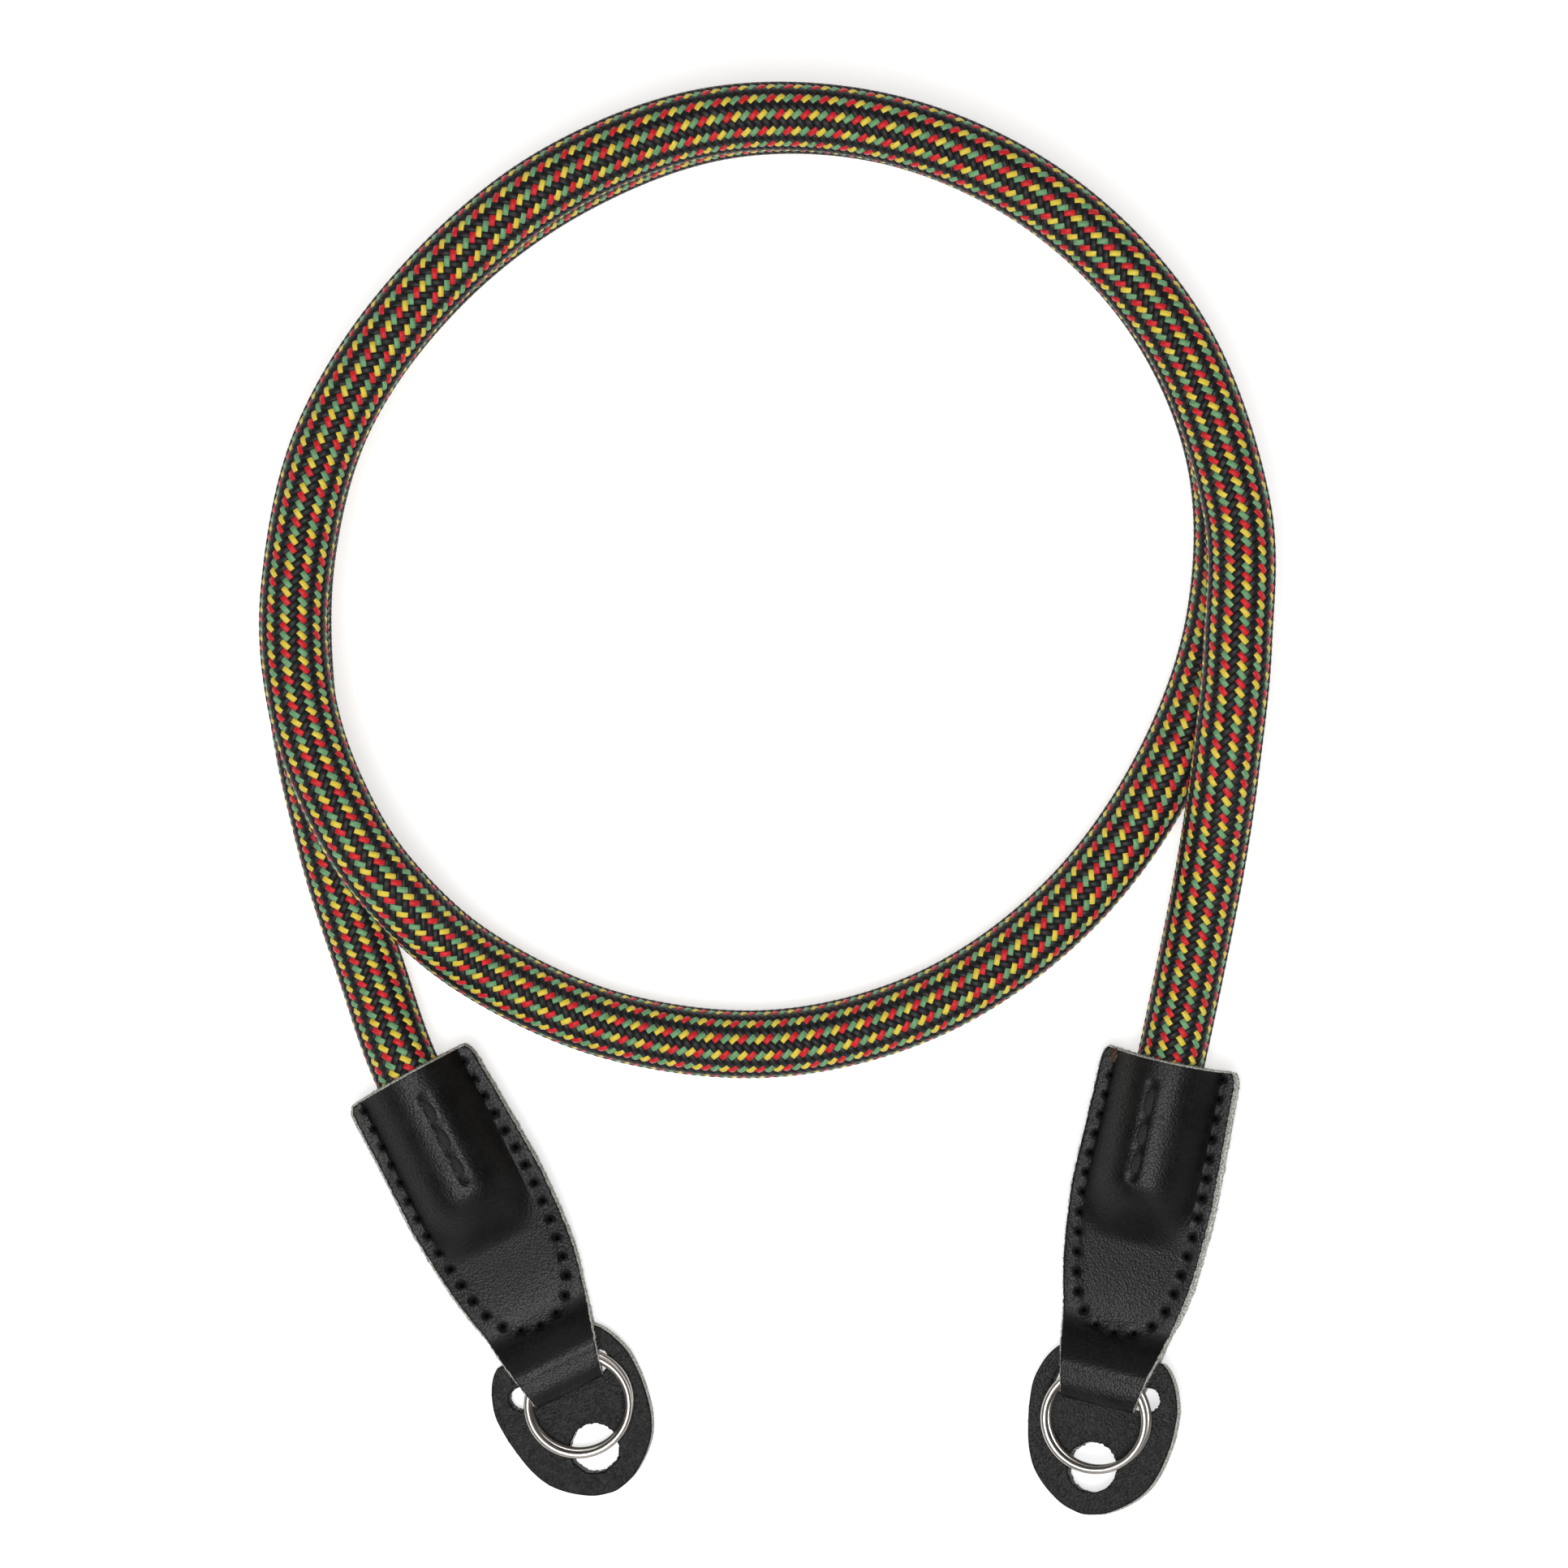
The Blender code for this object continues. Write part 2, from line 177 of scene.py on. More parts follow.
# Rope: a round braid, 11 mm thick, that lies in two turns, its lower turn on the table and its upper turn
# on the lower one. Both ends are sewn into the leather ends, so the route starts and stops inside them.
ROPE_DIAMETER = 0.011
CORE_DIAMETER = 0.0095
CORE_POINTS = 320
CORE_GRAIN_SCALE = 2500.0
CURVE_STEPS = 16
ROPE_TUCK = 0.019
ROPE_LEAD = 0.002
END_LENGTH = 0.056
LEATHER_THICKNESS = 0.0014
TOUCH_GAP = 0.0003
ROPE_HEIGHT = LEATHER_THICKNESS + TOUCH_GAP + ROPE_DIAMETER / 2.0
ROPE_ROUTE = (
    (-0.0672, 0.0488, 0.0057), (-0.0736, 0.0688, 0.0057), (-0.0784, 0.0923, 0.0057),
    (-0.0783, 0.1162, 0.0057), (-0.0715, 0.1391, 0.0057), (-0.0558, 0.1597, 0.0057),
    (-0.0349, 0.1750, 0.0057), (-0.0106, 0.1837, 0.0057), (0.0152, 0.1827, 0.0057),
    (0.0389, 0.1722, 0.0057), (0.0573, 0.1541, 0.0057), (0.0676, 0.1304, 0.0057),
    (0.0674, 0.1045, 0.0057), (0.0585, 0.0802, 0.0057), (0.0432, 0.0593, 0.0057),
    (0.0221, 0.0443, 0.0057), (-0.0029, 0.0377, 0.0057), (-0.0286, 0.0404, 0.0057),
    (-0.0501, 0.0503, 0.0083), (-0.0639, 0.0631, 0.0147), (-0.0722, 0.0765, 0.0170),
    (-0.0773, 0.0916, 0.0171), (-0.0783, 0.1095, 0.0171), (-0.0732, 0.1328, 0.0171),
    (-0.0593, 0.1546, 0.0171), (-0.0383, 0.1729, 0.0171), (-0.0123, 0.1828, 0.0171),
    (0.0155, 0.1813, 0.0171), (0.0406, 0.1694, 0.0171), (0.0595, 0.1490, 0.0171),
    (0.0690, 0.1228, 0.0171), (0.0693, 0.1008, 0.0169), (0.0677, 0.0830, 0.0149),
    (0.0660, 0.0682, 0.0104), (0.0633, 0.0528, 0.0077),
)

# Where each leather end lies: its place and its turns in degrees, how far the leather bows sideways, how far
# the ring and the pad have slid sideways in the fold, and how many degrees the pad has turned in it
EndPlace = namedtuple("EndPlace", "side x y z yaw roll pitch bow ring_slide pad_slide pad_turn")
END_PLACES = (
    EndPlace("left", -0.0357, -0.0179, 0.000141, 26.74, 0.0, 0.0, 0.00075, 0.00015, -0.0007, 0.0),
    EndPlace("right", 0.0489, -0.0201, 0.002121, -12.1, -12.0, -2.0, 0.0002, 0.0, 0.0009, 1.0),
)


def laid_down(place):
    """The matrix from an end's own frame to the strap's."""
    turns = Euler([math.radians(angle) for angle in (place.pitch, place.roll, place.yaw)], "XYZ")
    return Matrix.Translation((place.x, place.y, place.z)) @ turns.to_matrix().to_4x4()


def smooth_curve(points):
    """A fine smooth curve through the points."""
    points = np.array(points, float)
    ends = np.vstack([2.0 * points[:1] - points[1:2], points, 2.0 * points[-1:] - points[-2:-1]])
    t = np.linspace(0.0, 1.0, CURVE_STEPS, endpoint=False)[:, None]
    stretches = []
    for before, start, end, after in zip(ends, ends[1:], ends[2:], ends[3:]):
        linear = (end - before) * t
        square = (2.0 * before - 5.0 * start + 4.0 * end - after) * t**2
        cubic = (3.0 * start - before - 3.0 * end + after) * t**3
        stretches.append(start + 0.5 * (linear + square + cubic))
    return np.vstack([*stretches, points[-1:]])


def distances(curve):
    """How far along a fine curve each of its points is."""
    steps = np.linalg.norm(np.diff(curve, axis=0), axis=1)
    return np.concatenate([[0.0], np.cumsum(steps)])


def read_curve(curve, places):
    """The points of a fine curve at those distances along it."""
    reached = distances(curve)
    return np.stack([np.interp(places, reached, curve[:, axis]) for axis in range(curve.shape[1])], axis=-1)


def even_points(curve, count):
    """So many points of a fine curve, at even steps from its start to its end."""
    return read_curve(curve, np.linspace(0.0, distances(curve)[-1], count))


def add_piece(name, data, slot, *replaced):
    """A piece of the strap that takes the place of the solids named."""
    piece = put_in_scene(bpy.data.objects.new(name, data))
    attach(piece, "root")
    if replaced:
        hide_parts(*replaced)
    return piece


left_end, right_end = (laid_down(place) for place in END_PLACES)
stop = Vector((0.0, END_LENGTH - ROPE_TUCK, ROPE_HEIGHT))
lead = Vector((0.0, END_LENGTH + ROPE_LEAD, ROPE_HEIGHT))
rope_line = smooth_curve(
    [left_end @ stop, left_end @ lead, *ROPE_ROUTE, right_end @ lead, right_end @ stop]
)


def tube(name, lines, diameter, bevel_resolution):
    """A curve of round wires, one for each list of points, with closed ends and the radius at its points."""
    curve = bpy.data.curves.new(name, "CURVE")
    curve.dimensions = "3D"
    curve.bevel_depth = 1.0
    curve.bevel_resolution = bevel_resolution
    curve.use_fill_caps = True
    for points in lines:
        spline = curve.splines.new("POLY")
        spline.points.add(len(points) - 1)
        for place, point in zip(spline.points, points):
            place.co = (*point, 1.0)
            place.radius = diameter / 2.0
        spline.use_smooth = True
    return curve


def mix_colours(start, share, first, second):
    """The first colour where share is 0 and the second where it is 1."""
    return start.node(
        "ShaderNodeMix", {"data_type": "RGBA"}, {0: share, 6: first, 7: second}, output=2
    )


def raised(start, height, distance):
    """A normal for a surface with that relief, so many metres deep."""
    return start.node("ShaderNodeBump", None, {"Height": height, "Distance": distance})


def core_surface(start):
    """Black filling, seen only in the gaps of the braid."""
    grain = noise(start, object_place(start), CORE_GRAIN_SCALE)
    colour = mix_colours(start, grain, (0.004, 0.004, 0.004, 1.0), (0.012, 0.012, 0.012, 1.0))
    return {"Base Color": colour, "Normal": raised(start, grain, 0.0001)}


core_points = even_points(rope_line, CORE_POINTS)
core_tube = tube("rope_core", [core_points], CORE_DIAMETER, bevel_resolution=3)
core = add_piece("rope_core", core_tube, "braided_rope", "rope")
core.data.materials.append(new_material("rope_core", {"Roughness": 0.9}, core_surface))

# Braid: 24 coloured yarns run round the core one way and 24 black ones the other, each over two and under
# two of the others. The colours follow each other red, yellow, green, and make 12 rows along the rope.
YARNS = 24
ROWS = 12
TURN_LENGTH = 0.0325
FLOAT_LENGTH = TURN_LENGTH / ROWS
YARN_WIDTH = 0.00108
YARN_THICKNESS = 0.00068
BRAID_MIDDLE = 0.00478
BRAID_SWING = 0.00038
FLOAT_STEEPNESS = 1.7
FLOAT_LEAN = 0.019
BRAID_START = 0.009
YARN_MERGE = 1e-7
FILAMENT_SCALE = (9.0, 420.0, 1.0)
YARN_PATCH_SCALE = 900.0
YARN_RELIEF = 0.00012

# How far the whole braid is turned about the rope's middle, in radians, at those distances along the rope
TwistStop = namedtuple("TwistStop", "along turn")
BRAID_TWIST = (
    TwistStop(0.435, -0.27),
    TwistStop(0.560, -0.11),
    TwistStop(0.667, 0.15),
    TwistStop(0.790, -0.02),
)

# A float is the stretch of a yarn over two others. It has cross sections at these shares of FLOAT_LENGTH.
# Floats says which way round its yarns run, where their floats lie, how much of a yarn is on top, and the
# corners of its cross section in halves of its width and thickness.
FLOAT_STEPS = (-0.30, -0.17, 0.0, 0.17, 0.30, 0.5)
Floats = namedtuple("Floats", "hand centre reach section")
YarnCorner = namedtuple("YarnCorner", "across out")
COLOURED_SECTION = (
    YarnCorner(1.0, -0.1),
    YarnCorner(0.62, 0.8),
    YarnCorner(-0.62, 0.8),
    YarnCorner(-1.0, -0.1),
    YarnCorner(0.0, -0.8),
)
BLACK_SECTION = (
    YarnCorner(1.10, -0.1),
    YarnCorner(0.80, 0.85),
    YarnCorner(-0.80, 0.85),
    YarnCorner(-1.10, -0.1),
)

line_reached = distances(rope_line)
rope_length = line_reached[-1]
line_ahead = np.gradient(rope_line, line_reached, axis=0)
line_ahead /= np.linalg.norm(line_ahead, axis=1, keepdims=True)
line_up = np.array([0.0, 0.0, 1.0]) - line_ahead * line_ahead[:, 2:]
line_up /= np.linalg.norm(line_up, axis=1, keepdims=True)
line_side = np.cross(line_ahead, line_up)


def around_rope(along, turned, out):
    """Points beside the rope's middle: so far along it, turned so far from its top, and so far out."""
    def read(columns):
        return np.stack([np.interp(along, line_reached, columns[:, axis]) for axis in range(3)], axis=-1)

    up = np.cos(turned)[..., None] * read(line_up)
    side = np.sin(turned)[..., None] * read(line_side)
    return read(rope_line) + out[..., None] * (up + side)


def yarn_points(number, floats):
    """The corners of a yarn's cross sections, a row for each section."""
    shift = floats.hand * number / 2.0
    first = math.ceil(BRAID_START / FLOAT_LENGTH - shift)
    count = int((rope_length - 2.0 * BRAID_START) / FLOAT_LENGTH) - 1
    share = (first + np.arange(count)[:, None] + np.array(FLOAT_STEPS)[None, :]).ravel()
    wave = 2.0 * np.pi * share
    place = share + floats.centre
    row_angle = 2.0 * np.pi / ROWS
    along = FLOAT_LENGTH * (place + shift)
    twist = np.interp(along, *zip(*BRAID_TWIST))
    turned = twist + floats.hand * (row_angle * place + FLOAT_LEAN * np.sin(wave))
    out = BRAID_MIDDLE + BRAID_SWING * np.tanh(FLOAT_STEEPNESS * (np.cos(wave) + floats.reach))

    ahead = np.stack([np.gradient(along), out * np.gradient(turned), np.gradient(out)], axis=-1)
    ahead /= np.linalg.norm(ahead, axis=1, keepdims=True)
    across = np.cross(ahead, [0.0, 0.0, 1.0])
    across /= np.linalg.norm(across, axis=1, keepdims=True)
    outward = np.cross(across, ahead)
    corners = [*floats.section, floats.section[0]]
    half = np.array([(corner.across * YARN_WIDTH, corner.out * YARN_THICKNESS) for corner in corners]) / 2.0
    offset = half[None, :, :1] * across[:, None] + half[None, :, 1:] * outward[:, None]
    return around_rope(
        along[:, None] + offset[..., 0],
        turned[:, None] + offset[..., 1] / out[:, None],
        out[:, None] + offset[..., 2],
    )


def wrapped_grid(points, materials=None, values=None):
    """A mesh made from a grid laid over rows of points, with a material for each face and named values."""
    rows, columns = points.shape[0] - 1, points.shape[1] - 1
    grid = bmesh.new()
    grid.loops.layers.uv.new("yarn")
    bmesh.ops.create_grid(grid, x_segments=columns, y_segments=rows, size=1.0, calc_uvs=True)
    mesh = new_mesh("wrapped_grid", grid)
    flat = np.zeros(len(mesh.vertices) * 3, np.float32)
    mesh.vertices.foreach_get("co", flat)
    flat = flat.reshape(-1, 3)
    column = np.rint((flat[:, 0] + 1.0) / 2.0 * columns).astype(int)
    row = np.rint((flat[:, 1] + 1.0) / 2.0 * rows).astype(int)
    mesh.vertices.foreach_set("co", points[row, column].astype(np.float32).ravel())
    for name, value in (values or {}).items():
        mesh.attributes.new(name, "FLOAT", "POINT").data.foreach_set("value", value[row, column])
    if materials is not None:
        corners = np.zeros(len(mesh.loops), np.int32)
        mesh.loops.foreach_get("vertex_index", corners)
        corners = corners.reshape(-1, 4)
        found = materials[row[corners].min(axis=1), column[corners].min(axis=1)]
        mesh.polygons.foreach_set("material_index", found.astype(np.int32))
    mesh.update()
    return mesh


def gather(bundle, mesh):
    """Moves a mesh into the bundle."""
    bundle.from_mesh(mesh)
    bpy.data.meshes.remove(mesh)


def yarns(name, numbers, floats):
    """The yarns of one colour as one mesh of closed tubes."""
    bundle = bmesh.new()
    for number in numbers:
        gather(bundle, wrapped_grid(yarn_points(number, floats)))
    bmesh.ops.remove_doubles(bundle, verts=bundle.verts, dist=YARN_MERGE)
    bmesh.ops.holes_fill(bundle, edges=bundle.edges, sides=len(floats.section))
    bmesh.ops.recalc_face_normals(bundle, faces=bundle.faces)
    mesh = new_mesh(name, bundle)
    mesh.shade_smooth()
    return mesh


def between(start, value, low, high):
    """0 at low, 1 at high and a soft rise between them."""
    return start.node(
        "ShaderNodeMapRange",
        {"interpolation_type": "SMOOTHSTEP"},
        {"Value": value, "From Min": low, "From Max": high},
    )


def yarn_finish(name, shades, sheen):
    """Silky filaments that run along the yarn, a little uneven in colour."""
    def surface(start):
        uv = start.node("ShaderNodeTexCoord", output="UV")
        along_yarn = start.node("ShaderNodeMapping", None, {"Vector": uv, "Scale": FILAMENT_SCALE})
        filaments = noise(start, along_yarn, 1.0, 3.0)
        patches = noise(start, object_place(start), YARN_PATCH_SCALE)
        share = between(start, 0.6 * filaments + 0.4 * patches, 0.3, 0.7)
        return {
            "Base Color": mix_colours(start, share, *shades),
            "Roughness": 0.42 + 0.2 * patches,
            "Normal": raised(start, filaments, YARN_RELIEF),
        }

    return new_material(name, {"Specular IOR Level": 0.4, "Sheen Weight": sheen}, surface)


COLOURED = Floats(-1, 0.125, -0.17, COLOURED_SECTION)
BLACK = Floats(1, 0.375, 0.20, BLACK_SECTION)
Shades = namedtuple("Shades", "dark light")
YELLOW = Shades((0.84, 0.58, 0.03, 1.0), (0.98, 0.82, 0.10, 1.0))
RED = Shades((0.64, 0.004, 0.009, 1.0), (0.90, 0.014, 0.026, 1.0))
GREEN = Shades((0.12, 0.33, 0.13, 1.0), (0.24, 0.50, 0.25, 1.0))
SOOT = Shades((0.004, 0.0038, 0.004, 1.0), (0.018, 0.0172, 0.018, 1.0))
YarnColour = namedtuple("YarnColour", "name numbers floats shades sheen")
YARN_COLOURS = (
    YarnColour("yellow_yarns", range(0, YARNS, 3), COLOURED, YELLOW, 0.35),
    YarnColour("red_yarns", range(1, YARNS, 3), COLOURED, RED, 0.35),
    YarnColour("green_yarns", range(2, YARNS, 3), COLOURED, GREEN, 0.35),
    YarnColour("black_yarns_even", range(0, YARNS, 2), BLACK, SOOT, 0.0),
    YarnColour("black_yarns_odd", range(1, YARNS, 2), BLACK, SOOT, 0.0),
)
for colour in YARN_COLOURS:
    mesh = yarns(colour.name, colour.numbers, colour.floats)
    mesh.materials.append(yarn_finish(colour.name, colour.shades, colour.sheen))
    add_piece(colour.name, mesh, "braided_rope")

# Leather ends: one strip of black leather each, sewn flat over the rope, with a bulge where the rope is in
# it, and folded back round the split ring. Its cut edges show the pale, rough inside of the hide.
END_WIDTH = 0.0224
FOLD_WIDTH = 0.0112
FOLD_DEPTH = 0.0124
BULGE_RUN = 0.0105
BULGE_MARGIN = 0.0032
BULGE_CREST = 2.4
BULGE_FLANK = 1.5
SEAM_SHARE = 0.38
PAD_THICKNESS = 0.0018
RING_WIRE = 0.0012
RING_COIL_GAP = 0.00005

# The outline: how far from the fold as a share of END_LENGTH, and how wide as a share of the way from
# FOLD_WIDTH to END_WIDTH
EndSection = namedtuple("EndSection", "along width")
END_OUTLINE = [
    EndSection(*row)
    for row in (
        (0.00, 0.00), (0.09, 0.20), (0.17, 0.40), (0.25, 0.56), (0.36, 0.79), (0.45, 0.90),
        (0.55, 0.97), (0.62, 1.00), (0.75, 0.97), (0.88, 0.935), (0.97, 0.905), (1.00, 0.79),
    )
]

# The strip's middle round the ring: how far in from the fold's outer edge as a share of FOLD_DEPTH, and
# how high as a share of the way from the lower layer to the top of the roll
BendPoint = namedtuple("BendPoint", "depth height")
BEND = [
    BendPoint(*row)
    for row in (
        (0.73, 0.82), (0.49, 1.00), (0.37, 0.99), (0.20, 0.95), (0.095, 0.83), (0.060, 0.66),
        (0.075, 0.50), (0.150, 0.35), (0.210, 0.20), (0.280, 0.07), (0.36, 0.00), (0.69, 0.00),
    )
]

LOWER_LAYER = LEATHER_THICKNESS / 2.0
BRIDGE_MIDDLE = LEATHER_THICKNESS + TOUCH_GAP + PAD_THICKNESS / 2.0
RING_IN_FOLD = BRIDGE_MIDDLE + PAD_THICKNESS / 2.0 + TOUCH_GAP + RING_WIRE / 2.0
COIL_RISE = RING_WIRE + RING_COIL_GAP
ROLL_TOP = RING_IN_FOLD + COIL_RISE + RING_WIRE / 2.0 + TOUCH_GAP + LEATHER_THICKNESS / 2.0
BULGE_FULL = END_LENGTH - ROPE_TUCK - TOUCH_GAP
BULGE_START = BULGE_FULL - BULGE_RUN
LAYER_OFFSET = (LEATHER_THICKNESS + TOUCH_GAP) / 2.0

# How far each mouth reaches past END_LENGTH, how much more on its right side and in its middle, and how far
# the lower layer stands out beside the upper one on the left and on the right
Mouth = namedtuple("Mouth", "reach skew bow lower_left lower_right")
MOUTHS = {
    "left": Mouth(0.0006, 0.0004, 0.0003, 0.0003, 0.0002),
    "right": Mouth(0.0, 0.0, -0.0006, 0.0, 0.0005),
}
MOUTH_RUN = 0.012

# Where the roll round the ring meets the sewn layers, and how softly. The lower layer stands out fully from
# LOWER_SPREAD_END times that far.
ROLL_FOOT = 0.0108
ROLL_SOFTNESS = 0.0009
LOWER_SPREAD_END = 1.6

# The cut edge from the grained face to the rough one, which is cut a little wider
EdgePoint = namedtuple("EdgePoint", "out up")
CUT_EDGE = (
    EdgePoint(0.00008, 0.00058),
    EdgePoint(0.00015, 0.00030),
    EdgePoint(0.00028, -0.00030),
    EdgePoint(0.00024, -0.00062),
)
EDGE_UNEVEN = 0.00005
MouthStep = namedtuple("MouthStep", "out thick")
MOUTH_EDGE = (MouthStep(0.00034, 0.0), MouthStep(0.00030, 0.45), MouthStep(0.00012, 0.88))

outline_curve = smooth_curve(END_OUTLINE)


def rise(low, high, value):
    """0 up to low, 1 from high, and a soft rise between them."""
    share = np.clip((value - low) / (high - low), 0.0, 1.0)
    return share * share * (3.0 - 2.0 * share)


def half_width(along):
    """Half the width of the leather at a distance from its fold."""
    share = np.interp(along / END_LENGTH, outline_curve[:, 0], outline_curve[:, 1])
    return (FOLD_WIDTH + share * (END_WIDTH - FOLD_WIDTH)) / 2.0


def seam_height(along):
    """The height of the plane between the two sewn layers."""
    low = LOWER_LAYER + SEAM_SHARE * (ROLL_TOP - LOWER_LAYER)
    return low + (ROPE_HEIGHT - low) * rise(FOLD_DEPTH, BULGE_FULL, along)


def bulge(along, across):
    """How far each sewn layer stands away from the seam to make room for the rope."""
    height = ROPE_DIAMETER / 2.0 + TOUCH_GAP + LEATHER_THICKNESS / 2.0 - LAYER_OFFSET
    share = np.minimum(np.abs(across) / (ROPE_DIAMETER / 2.0 + BULGE_MARGIN), 1.0)
    crest = (1.0 - share**BULGE_CREST) ** BULGE_FLANK
    return height * crest * rise(BULGE_START, BULGE_FULL, along)


def leather_middle(across, along, layer):
    """The height of the middle of a sewn layer, upper with layer 1 and lower with layer -1."""
    roll = BEND[0] if layer > 0.0 else BEND[-1]
    roll_height = LOWER_LAYER + roll.height * (ROLL_TOP - LOWER_LAYER)
    climb = roll_height - seam_height(FOLD_DEPTH) - layer * LAYER_OFFSET
    slope = climb / ((1.0 - roll.depth) * FOLD_DEPTH)
    near_roll = ROLL_SOFTNESS * np.log1p(np.exp((FOLD_DEPTH - along) / ROLL_SOFTNESS))
    return seam_height(along) + layer * (LAYER_OFFSET + bulge(along, across)) + slope * near_roll


def bend_line():
    """The middle of the strip round the ring, from the upper layer to the lower, as (along, height)."""
    rows = [(row.depth * FOLD_DEPTH, LOWER_LAYER + row.height * (ROLL_TOP - LOWER_LAYER)) for row in BEND]
    upper, lower = (leather_middle(0.0, ROLL_FOOT, layer) for layer in (1.0, -1.0))
    return smooth_curve([(ROLL_FOOT, upper), *rows, (ROLL_FOOT, lower)])


def side_bow(place, along):
    """How far sideways the middle of the leather lies there."""
    return place.bow * np.sin(math.pi * along / END_LENGTH)


# Where the stitches go: one row follows the sides and the foot of each end, and three long stitches over
# the rope hold it, a little beside the middle. The thread pulls the leather in.
STITCH_PITCH = 0.00315
ROW_STEPS = 12
GROOVE_DEPTH = 0.00016
GROOVE_WIDTH = 0.0010
HOLE_DEPTH = 0.00052
HOLE_RADIUS = 0.00062
PUCKER_WIDTH = 0.0016
CHANNEL_DEPTH = 0.00022
CHANNEL_WIDTH = 0.00088
CHANNEL_POINTS = 60
MIDDLE_HOLE_DEPTH_SHARE = 0.45

# The stitch marks start softly over this stretch before the foot of the roll
MARKS_START = (0.0024, 0.0004)
StitchPoint = namedtuple("StitchPoint", "across along")
SIDE_ROW = [
    StitchPoint(*row)
    for row in (
        (0.0086, 0.0548), (0.0090, 0.045), (0.0094, 0.038), (0.0092, 0.030), (0.0083, 0.022),
        (0.0073, 0.0175), (0.0064, 0.0154), (0.0048, 0.0133), (0.0026, 0.0120),
    )
]
ROW_FOOT = StitchPoint(0.0, 0.0116)
MIDDLE_HOLES = {"left": (0.0526, 0.0477, 0.0429, 0.0383), "right": (0.0517, 0.0461, 0.0413, 0.0368)}
MIDDLE_SHIFT = {"left": 0.0010, "right": -0.0011}

mirrored_row = [(-point.across, point.along) for point in reversed(SIDE_ROW)]
row_curve = smooth_curve([*SIDE_ROW, ROW_FOOT, *mirrored_row])
row_stitches = round(distances(row_curve)[-1] / STITCH_PITCH)
row_holes = even_points(row_curve, row_stitches + 1)
fine_row = even_points(row_curve, ROW_STEPS * row_stitches + 1)


def nearest(across, along, places):
    """The distance from each point of the leather to the nearest of those places."""
    flat = np.stack([across, along], axis=-1)
    return np.linalg.norm(flat[..., None, :] - places, axis=-1).min(axis=-1)


def pit(distance, radius):
    """1 in a pit of that radius and 0 outside it."""
    return np.exp(-((distance / radius) ** 4))


def stitch_marks(place, across, along):
    """How far each point is in a hole, how near it is to the side row, and how deep it is pulled in."""
    own = across - side_bow(place, along)
    over = across - MIDDLE_SHIFT[place.side]
    ends = MIDDLE_HOLES[place.side]
    middle_holes = np.array([(0.0, hole) for hole in ends])
    middle_line = np.array([(0.0, spot) for spot in np.linspace(ends[0], ends[-1], CHANNEL_POINTS)])
    row_pits = pit(nearest(own, along, row_holes), HOLE_RADIUS)
    middle_pits = pit(nearest(over, along, middle_holes), HOLE_RADIUS)
    holes = np.maximum(row_pits, MIDDLE_HOLE_DEPTH_SHARE * middle_pits)
    row_distance = nearest(own, along, fine_row)
    pucker = np.exp(-((row_distance / PUCKER_WIDTH) ** 2))
    groove = GROOVE_DEPTH * np.exp(-((row_distance / GROOVE_WIDTH) ** 2))
    channel = CHANNEL_DEPTH * pit(nearest(over, along, middle_line), CHANNEL_WIDTH)
    sewn = rise(ROLL_FOOT - MARKS_START[0], ROLL_FOOT - MARKS_START[1], along)
    return sewn * holes, sewn * pucker, sewn * (groove + HOLE_DEPTH * holes + channel)


# The strip is made as rows of points across it, closer together where the stitches are
UPPER_STEP = 0.00034
BEND_STEP = 0.0004
LOWER_STEP = 0.0006
LEATHER_COLUMNS = 56
ColumnStop = namedtuple("ColumnStop", "columns across")
COLUMN_STOPS = (
    ColumnStop(0.0, -1.0),
    ColumnStop(0.22, -0.68),
    ColumnStop(0.40, -0.19),
    ColumnStop(0.60, 0.19),
    ColumnStop(0.78, 0.68),
    ColumnStop(1.0, 1.0),
)
WALL_MERGE = 1e-6

# The smooth neck between the roll and the stitches: it starts between NECK_START's two distances from the
# fold and ends at NECK_FOOT, further along at its sides, with a soft end from NECK_FADE before to after it
NECK_START = (0.0050, 0.0075)
NECK_FOOT = 0.0110
NECK_SIDES = 0.0036
NECK_HALF_WIDTH = 0.0075
NECK_FADE = (0.0012, 0.0006)
column_share = np.interp(np.linspace(0.0, 1.0, LEATHER_COLUMNS + 1), *zip(*COLUMN_STOPS))


def unit(vectors):
    """The vectors at length 1."""
    return vectors / np.linalg.norm(vectors, axis=-1, keepdims=True)


